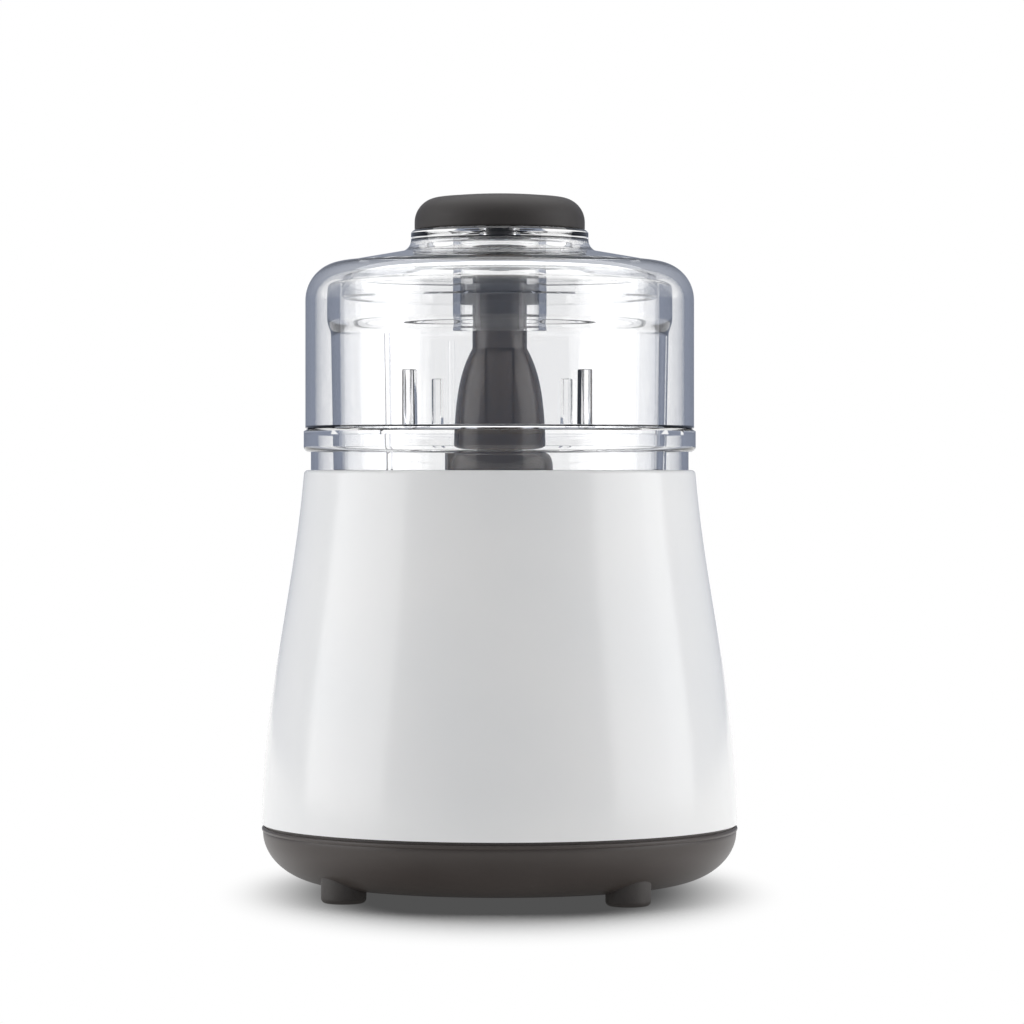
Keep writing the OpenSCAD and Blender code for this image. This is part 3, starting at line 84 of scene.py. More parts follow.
# Sizes end in what they are: R radius, W width, H height, T thickness, L length, Z level, TURN degrees
# Housing and pan
SEAM_Z = 24.8 * MM
RIM_R = 71.0 * MM
SHELL_WALL = 2.2 * MM
RIM_ROUND = 1.6 * MM
RIM_LEAN = 0.085
RIM_PULL = 46.0 * MM
FOOT_PULL = 43.5 * MM
PAN_LIFT = 3.6 * MM
PAN_WALL = 2.4 * MM
PAN_FLAT_R = 62.0 * MM
PAN_STEPS = 24
GROOVE_H = 1.0 * MM
BEAD_H = 1.8 * MM
BEAD_STEP = 0.4 * MM
LEDGE_W = 1.2 * MM
SPIGOT_H = 5.0 * MM
SPIGOT_WALL = 2.0 * MM
SPIGOT_GAP = 0.6 * MM
SPIGOT_R = BASE_R - SHELL_WALL - SPIGOT_GAP
VENT_COUNT = 18
VENT_W = 4.0 * MM
VENT_IN_R = 20.0 * MM
VENT_OUT_R = 38.0 * MM
FOOT_COUNT = 4
FOOT_R = 8.0 * MM
FOOT_RING_R = 71.0 * MM
FOOT_TURN = 39.3
FOOT_ROUND = 1.8 * MM
FOOT_HOLE_R = 3.95 * MM
FOOT_SEAT_Z = 4.5 * MM
INLET_Z = 34.8 * MM
INLET_R = 7.5 * MM
SCREW_HOLE_R = 2.0 * MM

# Bowl
BOWL_FOOT_R = 59.5 * MM
LIP_R = 62.6 * MM
LIP_STEP = 1.4 * MM
LIP_H = 19.3 * MM
LIP_RAMP = 6.2 * MM
# Shares of the ramp at which the handles of its curve lie
LIP_EASE = (0.4, 0.6)
BOWL_WALL = 3.0 * MM
BOWL_FLOOR_T = 3.0 * MM
FOOT_RING_H = 2.2 * MM
FOOT_RING_IN_R = 51.0 * MM
FOOT_RING_OUT_R = 58.7 * MM
FLOOR_CORNER = 5.0 * MM
POST_IN_R = 11.2 * MM
POST_OUT_R = 13.7 * MM
POST_TOP_Z = 144.5 * MM
SKIRT_R = 68.45 * MM
SKIRT_WALL = 2.4 * MM
BAND_H = 7.4 * MM
BAND_ROUND = 2.0 * MM
BEVEL_H = 1.9 * MM
FLANGE_T = 3.4 * MM
SEAT_IN_R = 67.05 * MM
SEAT_LAND = 1.0 * MM
GUSSET_W = 3.3 * MM
GUSSET_GAP = 1.5 * MM
FRONT_GUSSET_H = 19.3 * MM
BACK_GUSSET_H = 18.3 * MM
BOWL_TURN = -0.9
FRONT_GUSSET_TURN = 28.6
BACK_GUSSET_TURN = 23.9
RIB_COUNT = 3
RIB_TURN = 19.6
RIB_W = 2.6 * MM
RIB_FOOT = 4.0 * MM
# How far a piece that is joined on sinks in, and how far a cut runs past its end
SINK = 1.0 * MM

# Lid and knob
LID_R = 70.45 * MM
LID_WALL = 3.4 * MM
LID_LIFT = 0.05 * MM
SIDE_H = 45.6 * MM
SHOULDER_R = 14.0 * MM
# Degrees at which the inside of the shoulder meets the plug ring
SHOULDER_STOP = 85
TOP_RISE = 3.5 * MM
NECK_R = 32.2 * MM
NECK_FILLET = 4.5 * MM
NECK_CORNER = 2.0 * MM
NECK_EASE = 0.5 * MM
NECK_EDGE = 0.8 * MM
NECK_HOLE_R = 5.2 * MM
PLATE_T = 3.0 * MM
INNER_COLLAR_R = 14.4 * MM
INNER_COLLAR_WALL = 2.6 * MM
INNER_COLLAR_H = 24.1 * MM
PLUG_R = 57.3 * MM
PLUG_WALL = 2.5 * MM
PLUG_DROP = 5.9 * MM
KNOB_ROUND = 9.0 * MM
KNOB_CROWN = 1.2 * MM
CROWN_STEPS = 12
KNOB_WALL = 2.6 * MM
KNOB_BOSS_R = 9.0 * MM
KNOB_SPIGOT_R = 5.0 * MM
KNOB_HOLE_R = 1.82 * MM
KNOB_HOLE_L = 14.0 * MM
KNOB_EDGE = 0.8 * MM

# Blade hub
COLLAR_RISE = 6.2 * MM
COLLAR_TOP_Z = RIM_Z + COLLAR_RISE
# Shares of the collar's round at which the handles of its curve lie
COLLAR_EASE = (0.9, 0.55)
FLARE_R = 16.7 * MM
# Handles of the flare's curve: how far in, and at what share of its height
LOW_EASE = (0.4 * MM, 0.46)
HIGH_EASE = (1.5 * MM, 0.75)
HUB_NECK_R = 9.9 * MM
HUB_NECK_H = 28.9 * MM
HUB_EDGE = 1.2 * MM
HUB_BORE_R = 14.1 * MM
SOCKET_Z = 144.8 * MM
SOCKET_H = 18.0 * MM
SOCKET_R = 11.02 * MM
HUB_CORE_R = 7.0 * MM
HUB_ROOF = 6.0 * MM
CHANNEL_W = 10.5 * MM
CHANNEL_DEPTH = 1.0 * MM
ARCH_W = 16.6 * MM
ARCH_DEPTH = 1.2 * MM
ARCH_CORNER = 3.0 * MM
ARCH_DROP = 0.9 * MM
ARCH_TOP_Z = FLANGE_Z - ARCH_DROP
LUG_W = 14.0 * MM
LUG_H = 8.0 * MM
LUG_REACH = 0.6 * MM


# Outlines: points are (radius, height), in metres
def arc(centre, radius, start, end, count=12):
    """Points on an arc, angles in degrees from the radius axis."""
    points = []
    for i in range(count + 1):
        a = math.radians(start + (end - start) * i / count)
        points.append((centre[0] + radius * math.cos(a), centre[1] + radius * math.sin(a)))
    return points


def curve(p, q, r, s, count=32):
    """Points on a cubic curve from p to s with handles q and r."""
    points = []
    for i in range(count + 1):
        t = i / count
        w = ((1 - t) ** 3, 3 * t * (1 - t) ** 2, 3 * t * t * (1 - t), t ** 3)
        points.append(tuple(sum(k * v[axis] for k, v in zip(w, (p, q, r, s))) for axis in (0, 1)))
    return points


# Modelling steps
def select_only(piece):
    bpy.ops.object.select_all(action="DESELECT")
    piece.select_set(True)
    bpy.context.view_layer.objects.active = piece


def smooth(piece):
    select_only(piece)
    bpy.ops.object.shade_smooth_by_angle(angle=SMOOTH_ANGLE)


def held(outline):
    """Adds a holding point near each end of the long straight runs, so that they shade flat."""
    points = outline[:1]
    for (r0, z0), (r1, z1) in zip(outline, outline[1:]):
        length = math.hypot(r1 - r0, z1 - z0)
        if length > 5 * HOLD:
            for share in (HOLD / length, 1 - HOLD / length):
                points.append((r0 + (r1 - r0) * share, z0 + (z1 - z0) * share))
        points.append((r1, z1))
    return points


def turned(name, outline, steps=TURN_STEPS):
    """A plane is merged to one vertex, extruded along the half outline and spun about the shaft axis."""
    outline = held(outline)
    bpy.ops.object.select_all(action="DESELECT")
    bpy.ops.mesh.primitive_plane_add(size=MM, location=(outline[0][0], 0, outline[0][1]))
    piece = bpy.context.object
    piece.name = name
    bpy.ops.object.transform_apply(location=True)
    bpy.ops.object.mode_set(mode="EDIT")
    bpy.ops.mesh.select_all(action="SELECT")
    bpy.ops.mesh.merge(type="CENTER")
    for (r0, z0), (r1, z1) in zip(outline, outline[1:]):
        bpy.ops.mesh.extrude_vertices_move(TRANSFORM_OT_translate={"value": (r1 - r0, 0, z1 - z0)})
    bpy.ops.mesh.select_all(action="SELECT")
    bpy.ops.mesh.spin(steps=steps, angle=2 * math.pi, center=(0, 0, 0), axis=(0, 0, 1))
    bpy.ops.mesh.select_all(action="SELECT")
    bpy.ops.mesh.remove_doubles(threshold=MERGE)
    bpy.ops.mesh.normals_make_consistent(inside=False)
    bpy.ops.object.mode_set(mode="OBJECT")
    smooth(piece)
    return piece


def block(name, low, high, edge=0.0):
    """A cube scaled between two corners, its edges bevelled."""
    bpy.ops.object.select_all(action="DESELECT")
    centre = [(a + b) / 2 for a, b in zip(low, high)]
    bpy.ops.mesh.primitive_cube_add(size=1, location=centre)
    piece = bpy.context.object
    piece.name = name
    piece.scale = [b - a for a, b in zip(low, high)]
    bpy.ops.object.transform_apply(location=True, scale=True)
    if edge:
        bpy.ops.object.mode_set(mode="EDIT")
        bpy.ops.mesh.select_all(action="SELECT")
        bpy.ops.mesh.bevel(offset=edge, segments=3, affect="EDGES")
        bpy.ops.object.mode_set(mode="OBJECT")
    return piece


def rod(name, radius, low, high, axis="Z", steps=48):
    """A cylinder between two points that lie on one line along axis."""
    bpy.ops.object.select_all(action="DESELECT")
    centre = [(a + b) / 2 for a, b in zip(low, high)]
    length = sum(abs(b - a) for a, b in zip(low, high))
    turn = {"Z": (0, 0, 0), "Y": (math.pi / 2, 0, 0), "X": (0, math.pi / 2, 0)}[axis]
    bpy.ops.mesh.primitive_cylinder_add(
        vertices=steps, radius=radius, depth=length, location=centre, rotation=turn)
    piece = bpy.context.object
    piece.name = name
    bpy.ops.object.transform_apply(location=True, rotation=True)
    return piece


def swung(piece, degrees, reach=0.0):
    """Moves a piece out along X and round the shaft axis, and applies its place."""
    select_only(piece)
    a = math.radians(degrees)
    piece.rotation_euler = (0, 0, a)
    piece.location = (reach * math.cos(a), reach * math.sin(a), 0)
    bpy.ops.object.transform_apply(location=True, rotation=True)
    return piece


def copied(piece, name):
    twin = piece.copy()
    twin.data = piece.data.copy()
    twin.name = name
    bpy.context.scene.collection.objects.link(twin)
    return twin


def joined(name, pieces):
    bpy.ops.object.select_all(action="DESELECT")
    for piece in pieces:
        piece.select_set(True)
    bpy.context.view_layer.objects.active = pieces[0]
    bpy.ops.object.join()
    pieces[0].name = name
    return pieces[0]


def boolean(piece, tool, operation):
    """Cuts, joins or meets a piece with a tool piece, which is used up."""
    select_only(piece)
    step = piece.modifiers.new(operation, "BOOLEAN")
    step.object = tool
    step.operation = operation
    step.solver = "EXACT"
    bpy.ops.object.modifier_apply(modifier=step.name)
    bpy.data.objects.remove(tool)
    smooth(piece)
    return piece


# Motor housing: one turned wall with a slot at the back for the inlet
def shell_side(inset):
    return curve(
        (BASE_R - inset, SEAM_Z),
        (BASE_R - inset, SEAM_Z + FOOT_PULL),
        (RIM_R - inset + RIM_LEAN * RIM_PULL, RIM_Z - RIM_ROUND - RIM_PULL),
        (RIM_R - inset, RIM_Z - RIM_ROUND), count=48)


def make_housing():
    inner = shell_side(SHELL_WALL)[::-1]
    outline = shell_side(0)
    outline += arc((RIM_R - RIM_ROUND, RIM_Z - RIM_ROUND), RIM_ROUND, 0, 90)
    outline += [(RIM_R - SHELL_WALL, RIM_Z)] + inner + [outline[0]]
    shell = turned("housing", outline)
    near, far = SPIGOT_R - SPIGOT_WALL, BASE_R + SPIGOT_WALL
    slot = rod("slot", INLET_R, (0, near, INLET_Z), (0, far, INLET_Z), "Y")
    mouth = block("mouth", (-INLET_R, near, SEAM_Z - SPIGOT_H), (INLET_R, far, INLET_Z))
    boolean(slot, mouth, "UNION")
    return boolean(shell, slot, "DIFFERENCE")


# Base pan: a turned dish with a bead, a shadow groove and a spigot inside the housing
def pan_side(inset):
    top = SEAM_Z - GROOVE_H - BEAD_H
    reach = BASE_R - BEAD_STEP - inset - PAN_FLAT_R
    points = []
    for i in range(PAN_STEPS + 1):
        a = math.pi / 2 * i / PAN_STEPS
        points.append((PAN_FLAT_R + reach * math.sin(a), top - (top - PAN_LIFT - inset) * math.cos(a)))
    return points


def make_pan():
    lip = SEAM_Z - GROOVE_H
    outline = [(0, PAN_LIFT)] + pan_side(0)
    outline += arc((BASE_R - BEAD_H / 2, lip - BEAD_H / 2), BEAD_H / 2, -60, 90)
    outline += [(BASE_R - LEDGE_W, lip), (BASE_R - LEDGE_W, SEAM_Z), (SPIGOT_R, SEAM_Z),
                (SPIGOT_R, SEAM_Z + SPIGOT_H), (SPIGOT_R - SPIGOT_WALL, SEAM_Z + SPIGOT_H)]
    outline += pan_side(PAN_WALL)[::-1] + [(0, PAN_LIFT + PAN_WALL)]
    pan = turned("base_dish", outline)
    vents = []
    for k in range(VENT_COUNT):
        low, high = PAN_LIFT - PAN_WALL, PAN_LIFT + 2 * PAN_WALL
        vent = block("vent", (VENT_IN_R, -VENT_W / 2, low), (VENT_OUT_R, VENT_W / 2, high))
        for r in (VENT_IN_R, VENT_OUT_R):
            boolean(vent, rod("end", VENT_W / 2, (r, 0, low), (r, 0, high), steps=24), "UNION")
        vents.append(swung(vent, 360 * (k + 0.5) / VENT_COUNT))
    return boolean(pan, joined("vents", vents), "DIFFERENCE")


def make_feet():
    outline = [(FOOT_HOLE_R, FOOT_SEAT_Z), (FOOT_HOLE_R, FINE_EDGE), (FOOT_HOLE_R + FINE_EDGE, 0)]
    outline += arc((FOOT_R - FOOT_ROUND, FOOT_ROUND), FOOT_ROUND, -90, 0)
    outline += [(FOOT_R, FOOT_TOP_Z), (SCREW_HOLE_R, FOOT_TOP_Z), (SCREW_HOLE_R, FOOT_SEAT_Z),
                (FOOT_HOLE_R, FOOT_SEAT_Z)]
    foot = turned("foot", outline, steps=64)
    feet = [swung(copied(foot, "foot"), FOOT_TURN + 360 / FOOT_COUNT * k, FOOT_RING_R)
            for k in range(FOOT_COUNT)]
    bpy.data.objects.remove(foot)
    return joined("rubber_feet", feet)


# Clear bowl: floor, hollow post, wall with lip, flange, band and skirt in one outline
def bowl_out_r(z):
    foot = SEAT_TOP_Z + FOOT_RING_H
    return BOWL_FOOT_R + (LIP_R - LIP_STEP - BOWL_FOOT_R) * (z - foot) / (BOWL_RIM_Z - LIP_H - foot)


def make_bowl():
    under = SEAT_TOP_Z + FOOT_RING_H
    floor = under + BOWL_FLOOR_T
    lip_z = BOWL_RIM_Z - LIP_H
    wall_r = LIP_R - LIP_STEP
    corner_in = FLOOR_CORNER - BOWL_WALL / 2
    bevel_z = FLANGE_Z - BEVEL_H
    band_z = bevel_z - BAND_H
    flange_under = FLANGE_Z - FLANGE_T
    outline = [(POST_IN_R, under), (FOOT_RING_IN_R, under), (FOOT_RING_IN_R, SEAT_TOP_Z),
               (FOOT_RING_OUT_R, SEAT_TOP_Z), (FOOT_RING_OUT_R, under + FLOOR_CORNER / 3)]
    outline += arc((BOWL_FOOT_R - FLOOR_CORNER, under + FLOOR_CORNER), FLOOR_CORNER, -30, 0, count=6)
    outline += [(bowl_out_r(flange_under), flange_under), (SKIRT_R - SKIRT_WALL, flange_under),
                (SKIRT_R - SKIRT_WALL, SKIRT_Z + EDGE), (SKIRT_R - SKIRT_WALL + EDGE, SKIRT_Z),
                (SKIRT_R - EDGE, SKIRT_Z), (SKIRT_R, SKIRT_Z + EDGE), (SKIRT_R, band_z)]
    outline += arc((BAND_R - BAND_ROUND, band_z + BAND_ROUND), BAND_ROUND, -90, 0)
    outline += [(BAND_R, bevel_z), (SEAT_IN_R + SEAT_LAND, FLANGE_Z), (bowl_out_r(FLANGE_Z), FLANGE_Z)]
    outline += curve((wall_r, lip_z), (wall_r, lip_z + LIP_EASE[0] * LIP_RAMP),
                     (LIP_R, lip_z + LIP_EASE[1] * LIP_RAMP), (LIP_R, lip_z + LIP_RAMP), count=12)
    edge_z = BOWL_RIM_Z - LIP_ROUND
    outline += arc((LIP_R - LIP_ROUND, edge_z), LIP_ROUND, 0, 90, count=6)
    outline += arc((wall_r - BOWL_WALL + LIP_ROUND, edge_z), LIP_ROUND, 90, 180, count=6)
    outline += [(wall_r - BOWL_WALL, lip_z)]
    outline += arc((BOWL_FOOT_R - BOWL_WALL - corner_in, floor + corner_in), corner_in, 0, -90)
    outline += arc((POST_OUT_R + LIP_ROUND, floor + LIP_ROUND), LIP_ROUND, -90, -180, count=4)
    outline += arc((POST_OUT_R - LIP_ROUND, POST_TOP_Z - LIP_ROUND), LIP_ROUND, 0, 90, count=4)
    outline += [(POST_IN_R, POST_TOP_Z), (POST_IN_R, under)]
    bowl = turned("clear_bowl", outline)
    stand = bowl_out_r(FLANGE_Z) - SINK
    for turn, height in ((-90 - FRONT_GUSSET_TURN, FRONT_GUSSET_H),
                         (-90 + FRONT_GUSSET_TURN, FRONT_GUSSET_H),
                         (90 - BACK_GUSSET_TURN, BACK_GUSSET_H),
                         (90 + BACK_GUSSET_TURN, BACK_GUSSET_H)):
        gusset = block("gusset", (stand, -GUSSET_W / 2, FLANGE_Z - SINK),
                       (SEAT_IN_R - GUSSET_GAP, GUSSET_W / 2, FLANGE_Z + height), edge=FINE_EDGE)
        boolean(bowl, swung(gusset, turn + BOWL_TURN), "UNION")
    foot_r, top_r, rib_z = BOWL_FOOT_R - BOWL_WALL, wall_r - BOWL_WALL, floor + RIB_FOOT
    lean = math.atan((top_r - foot_r) / (lip_z - rib_z))
    for k in range(RIB_COUNT):
        rib = rod("rib", RIB_W / 2, (0, 0, 0), (0, 0, lip_z - rib_z), steps=24)
        rib.rotation_euler = (0, lean, 0)
        rib.location = (foot_r, 0, rib_z)
        select_only(rib)
        bpy.ops.object.transform_apply(location=True, rotation=True)
        boolean(bowl, swung(rib, 90 + RIB_TURN + 360 / RIB_COUNT * k + BOWL_TURN), "UNION")
    return bowl


# Clear lid: seat, side, shoulder, neck, inner collar and plug ring in one outline
def make_lid():
    shoulder_z = FLANGE_Z + SIDE_H
    top_z = shoulder_z + SHOULDER_R
    top_in_r = LID_R - SHOULDER_R
    neck_foot_z = top_z + TOP_RISE
    plate_z = NECK_TOP_Z - PLATE_T
    foot_r = NECK_R + NECK_FILLET
    collar_z = top_z - INNER_COLLAR_H
    collar_r = INNER_COLLAR_R + INNER_COLLAR_WALL
    plug_z = BOWL_RIM_Z - PLUG_DROP
    plug_in_r = PLUG_R - PLUG_WALL
    under = top_z - LID_WALL
    seat_z = FLANGE_Z + LID_LIFT
    outline = [(SEAT_IN_R, seat_z), (SEAT_IN_R + SEAT_LAND, seat_z),
               (LID_R - FINE_EDGE, LID_EDGE_Z + FINE_EDGE / 2), (LID_R, LID_EDGE_Z + EDGE)]
    outline += arc((top_in_r, shoulder_z), SHOULDER_R, 0, 90, count=20)
    outline += arc((foot_r, neck_foot_z + NECK_FILLET), NECK_FILLET, 270, 180)
    outline += [(NECK_R, NECK_TOP_Z - NECK_EDGE), (NECK_R - NECK_EDGE, NECK_TOP_Z),
                (NECK_HOLE_R, NECK_TOP_Z), (NECK_HOLE_R, plate_z), (INNER_COLLAR_R, plate_z),
                (INNER_COLLAR_R, collar_z + EDGE), (INNER_COLLAR_R + EDGE, collar_z),
                (collar_r - EDGE, collar_z), (collar_r, collar_z + EDGE), (collar_r, plate_z)]
    neck_in_r, corner_z = NECK_R - LID_WALL, plate_z - NECK_CORNER
    outline += arc((neck_in_r - NECK_CORNER, corner_z), NECK_CORNER, 90, 0, count=6)
    slope = TOP_RISE / (foot_r - top_in_r)
    foot_under = neck_foot_z - LID_WALL
    outline += curve((neck_in_r, corner_z), (neck_in_r, foot_under + NECK_CORNER),
                     (NECK_R, foot_under + NECK_EASE), (foot_r, foot_under), count=10)
    outline += [(plug_in_r, under + slope * (plug_in_r - top_in_r)), (plug_in_r, plug_z + EDGE),
                (plug_in_r + EDGE, plug_z), (PLUG_R - EDGE, plug_z), (PLUG_R, plug_z + EDGE)]
    outline += arc((top_in_r, shoulder_z), SHOULDER_R - LID_WALL, SHOULDER_STOP, 0, count=20)
    outline += [(SEAT_IN_R, seat_z)]
    return turned("clear_lid", outline)


def make_knob():
    crown_r = KNOB_R - KNOB_ROUND
    crown_z = KNOB_TOP_Z - KNOB_CROWN
    plate_z = NECK_TOP_Z - PLATE_T
    hole_top = plate_z + KNOB_HOLE_L
    lean = math.degrees(math.atan(2 * KNOB_CROWN / crown_r))
    outline = []
    for i in range(CROWN_STEPS + 1):
        u = i / CROWN_STEPS
        outline.append((crown_r * u, KNOB_TOP_Z - KNOB_CROWN * u * u))
    outline += arc((crown_r, crown_z - KNOB_ROUND), KNOB_ROUND, 90 - lean, 0, count=16)
    outline += arc((KNOB_R - KNOB_EDGE, NECK_TOP_Z + KNOB_EDGE), KNOB_EDGE, 0, -90, count=5)
    outline += [(KNOB_R - KNOB_WALL, NECK_TOP_Z)]
    outline += arc((crown_r, crown_z - KNOB_ROUND), KNOB_ROUND - KNOB_WALL, 0, 90, count=10)
    outline += [(KNOB_BOSS_R, crown_z - KNOB_WALL), (KNOB_BOSS_R, NECK_TOP_Z), (KNOB_SPIGOT_R, NECK_TOP_Z),
                (KNOB_SPIGOT_R, plate_z), (KNOB_HOLE_R, plate_z), (KNOB_HOLE_R, hole_top), (0, hole_top)]
    return turned("knob", outline)


# Blade hub: a bottle shape with an arched boss and a shallow channel, front and back
def hub_side(inset):
    """Outer side of the hub from its lower edge to its top edge."""
    round_h = COLLAR_R - FLARE_R
    neck_z = HUB_TOP_Z - HUB_NECK_H
    rise = neck_z - COLLAR_TOP_Z
    collar_r, flare_r, neck_r = COLLAR_R - inset, FLARE_R - inset, HUB_NECK_R - inset
    points = [(collar_r, HUB_Z)]
    points += curve((collar_r, COLLAR_TOP_Z - 2 * round_h),
                    (collar_r, COLLAR_TOP_Z - COLLAR_EASE[0] * round_h),
                    (flare_r + COLLAR_EASE[1] * round_h, COLLAR_TOP_Z),
                    (flare_r, COLLAR_TOP_Z), count=12)
    points += curve((flare_r, COLLAR_TOP_Z),
                    (flare_r - LOW_EASE[0], COLLAR_TOP_Z + LOW_EASE[1] * rise),
                    (flare_r - HIGH_EASE[0], COLLAR_TOP_Z + HIGH_EASE[1] * rise),
                    (neck_r, neck_z), count=32)
    points += arc((neck_r - HUB_EDGE, HUB_TOP_Z - HUB_EDGE), HUB_EDGE, 0, 90, count=6)
    return points


def hub_bar(inset):
    return turned("hub_bar", [(0, HUB_Z)] + hub_side(inset) + [(0, HUB_TOP_Z)])


def make_hub():
    hub = hub_bar(0)
    low, high = (0, 0, HUB_Z), (0, 0, ARCH_TOP_Z)
    for side in (-1, 1):
        y0, y1 = sorted((0.0, side * 2 * COLLAR_R))
        channel = block("channel", (-CHANNEL_W / 2, y0, ARCH_TOP_Z - SINK),
                        (CHANNEL_W / 2, y1, HUB_TOP_Z - HUB_NECK_H))
        boolean(channel, hub_bar(CHANNEL_DEPTH), "DIFFERENCE")
        boolean(hub, channel, "DIFFERENCE")
        corner_z, corner_x = ARCH_TOP_Z - ARCH_CORNER, ARCH_W / 2 - ARCH_CORNER
        arch = block("arch", (-ARCH_W / 2, y0, HUB_Z), (ARCH_W / 2, y1, corner_z))
        boolean(arch, block("arch_top", (-corner_x, y0, HUB_Z), (corner_x, y1, ARCH_TOP_Z)), "UNION")
        for x in (-corner_x, corner_x):
            corner = rod("corner", ARCH_CORNER, (x, y0, corner_z), (x, y1, corner_z), "Y", steps=64)
            boolean(arch, corner, "UNION")
        boolean(arch, hub_bar(-ARCH_DEPTH), "INTERSECT")
        collar = rod("collar", COLLAR_R, low, high, steps=TURN_STEPS)
        boolean(arch, collar, "INTERSECT")
        boolean(hub, arch, "UNION")
    lug = block("lug", (-2 * COLLAR_R, -LUG_W / 2, COLLAR_TOP_Z - LUG_H),
                (0, LUG_W / 2, COLLAR_TOP_Z), edge=FINE_EDGE)
    collar = rod("collar", COLLAR_R + LUG_REACH, low, high, steps=TURN_STEPS)
    boolean(lug, collar, "INTERSECT")
    boolean(hub, lug, "UNION")
    bore = turned("bore", [
        (0, HUB_TOP_Z - HUB_ROOF), (HUB_CORE_R, HUB_TOP_Z - HUB_ROOF), (HUB_CORE_R, SOCKET_Z + SOCKET_H),
        (SOCKET_R, SOCKET_Z + SOCKET_H), (SOCKET_R, SOCKET_Z), (HUB_BORE_R, SOCKET_Z),
        (HUB_BORE_R, HUB_Z - SINK), (0, HUB_Z - SINK)])
    boolean(hub, bore, "DIFFERENCE")
    return hub


# Seat springs: the solids' own coils with their seams merged, in a piece of their own
def make_springs():
    springs = bpy.data.objects.new("seat_springs", nodes["press_springs"].data.copy())
    bpy.context.scene.collection.objects.link(springs)
    select_only(springs)
    bpy.ops.object.mode_set(mode="EDIT")
    bpy.ops.mesh.select_all(action="SELECT")
    bpy.ops.mesh.remove_doubles(threshold=MERGE)
    bpy.ops.object.mode_set(mode="OBJECT")
    smooth(springs)
    return springs


# Materials: the noise levels between which a colour drifts, for moulded pieces and for worked metal
DRIFT_BAND = (0.3, 0.7)
MARK_BAND = (0.25, 0.75)
# How much a metal's tool marks are drawn out
MARK_SQUEEZE = 0.04
# Handling haze on clear plastic: its size and the noise levels where it comes in
HAZE_SIZE = 9.0 * MM
HAZE_BAND = (0.45, 0.8)
CLEAR_IOR = 1.45
# Bands of layered pieces: the wave texture's bands to one unit, their waver, and their relief
WAVE_BANDS = 20
BAND_WAVER = 0.4
BAND_STRENGTH = 0.6
BAND_RELIEF = 0.1 * MM


def linear(hex_colour):
    """sRGB hex to the linear colour that a socket takes."""
    values = [int(hex_colour[i:i + 2], 16) / 255 for i in (1, 3, 5)]
    return tuple(v / 12.92 if v <= 0.04045 else ((v + 0.055) / 1.055) ** 2.4 for v in values) + (1.0,)


def add(tree, kind, settings=None, links=None):
    """Adds a node, sets its sockets or properties by name and links its inputs."""
    node = tree.nodes.new(kind)
    for key, value in (settings or {}).items():
        if key in node.inputs:
            node.inputs[key].default_value = value
        else:
            setattr(node, key, value)
    for key, source in (links or {}).items():
        tree.links.new(source, node.inputs[key])
    return node


def material(name):
    """Empty material with its shader and the object's own coordinates."""
    made = bpy.data.materials.new(name)
    made.use_nodes = True
    tree = made.node_tree
    tree.nodes.clear()
    shader = add(tree, "ShaderNodeBsdfPrincipled")
    add(tree, "ShaderNodeOutputMaterial", {}, {"Surface": shader.outputs["BSDF"]})
    place = add(tree, "ShaderNodeTexCoord")
    return made, tree, shader, place.outputs["Object"]


def moulded(name, dark, light, roughness, mottle_mm, grain_mm, grain_depth_mm, ior=1.53):
    """Moulded plastic or rubber: a slow colour drift, uneven gloss and the mould's own grain as bump."""
    made, tree, shader, place = material(name)
    drift = add(tree, "ShaderNodeTexNoise", {"Scale": 1 / (mottle_mm * MM), "Detail": 3.0},
                {"Vector": place})
    tone = add(tree, "ShaderNodeValToRGB", {}, {"Fac": drift.outputs["Fac"]})
    tone.color_ramp.elements[0].position = DRIFT_BAND[0]
    tone.color_ramp.elements[0].color = linear(dark)
    tone.color_ramp.elements[1].position = DRIFT_BAND[1]
    tone.color_ramp.elements[1].color = linear(light)
    gloss = add(tree, "ShaderNodeMapRange", {"To Min": roughness[0], "To Max": roughness[1]},
                {"Value": drift.outputs["Fac"]})
    grain = add(tree, "ShaderNodeTexNoise", {"Scale": 1 / (grain_mm * MM), "Detail": 2.0},
                {"Vector": place})
    bump = add(tree, "ShaderNodeBump", {"Strength": 1.0, "Distance": grain_depth_mm * MM},
               {"Height": grain.outputs["Fac"]})
    tree.links.new(tone.outputs["Color"], shader.inputs["Base Color"])
    tree.links.new(gloss.outputs["Result"], shader.inputs["Roughness"])
    tree.links.new(bump.outputs["Normal"], shader.inputs["Normal"])
    shader.inputs["IOR"].default_value = ior
    return made


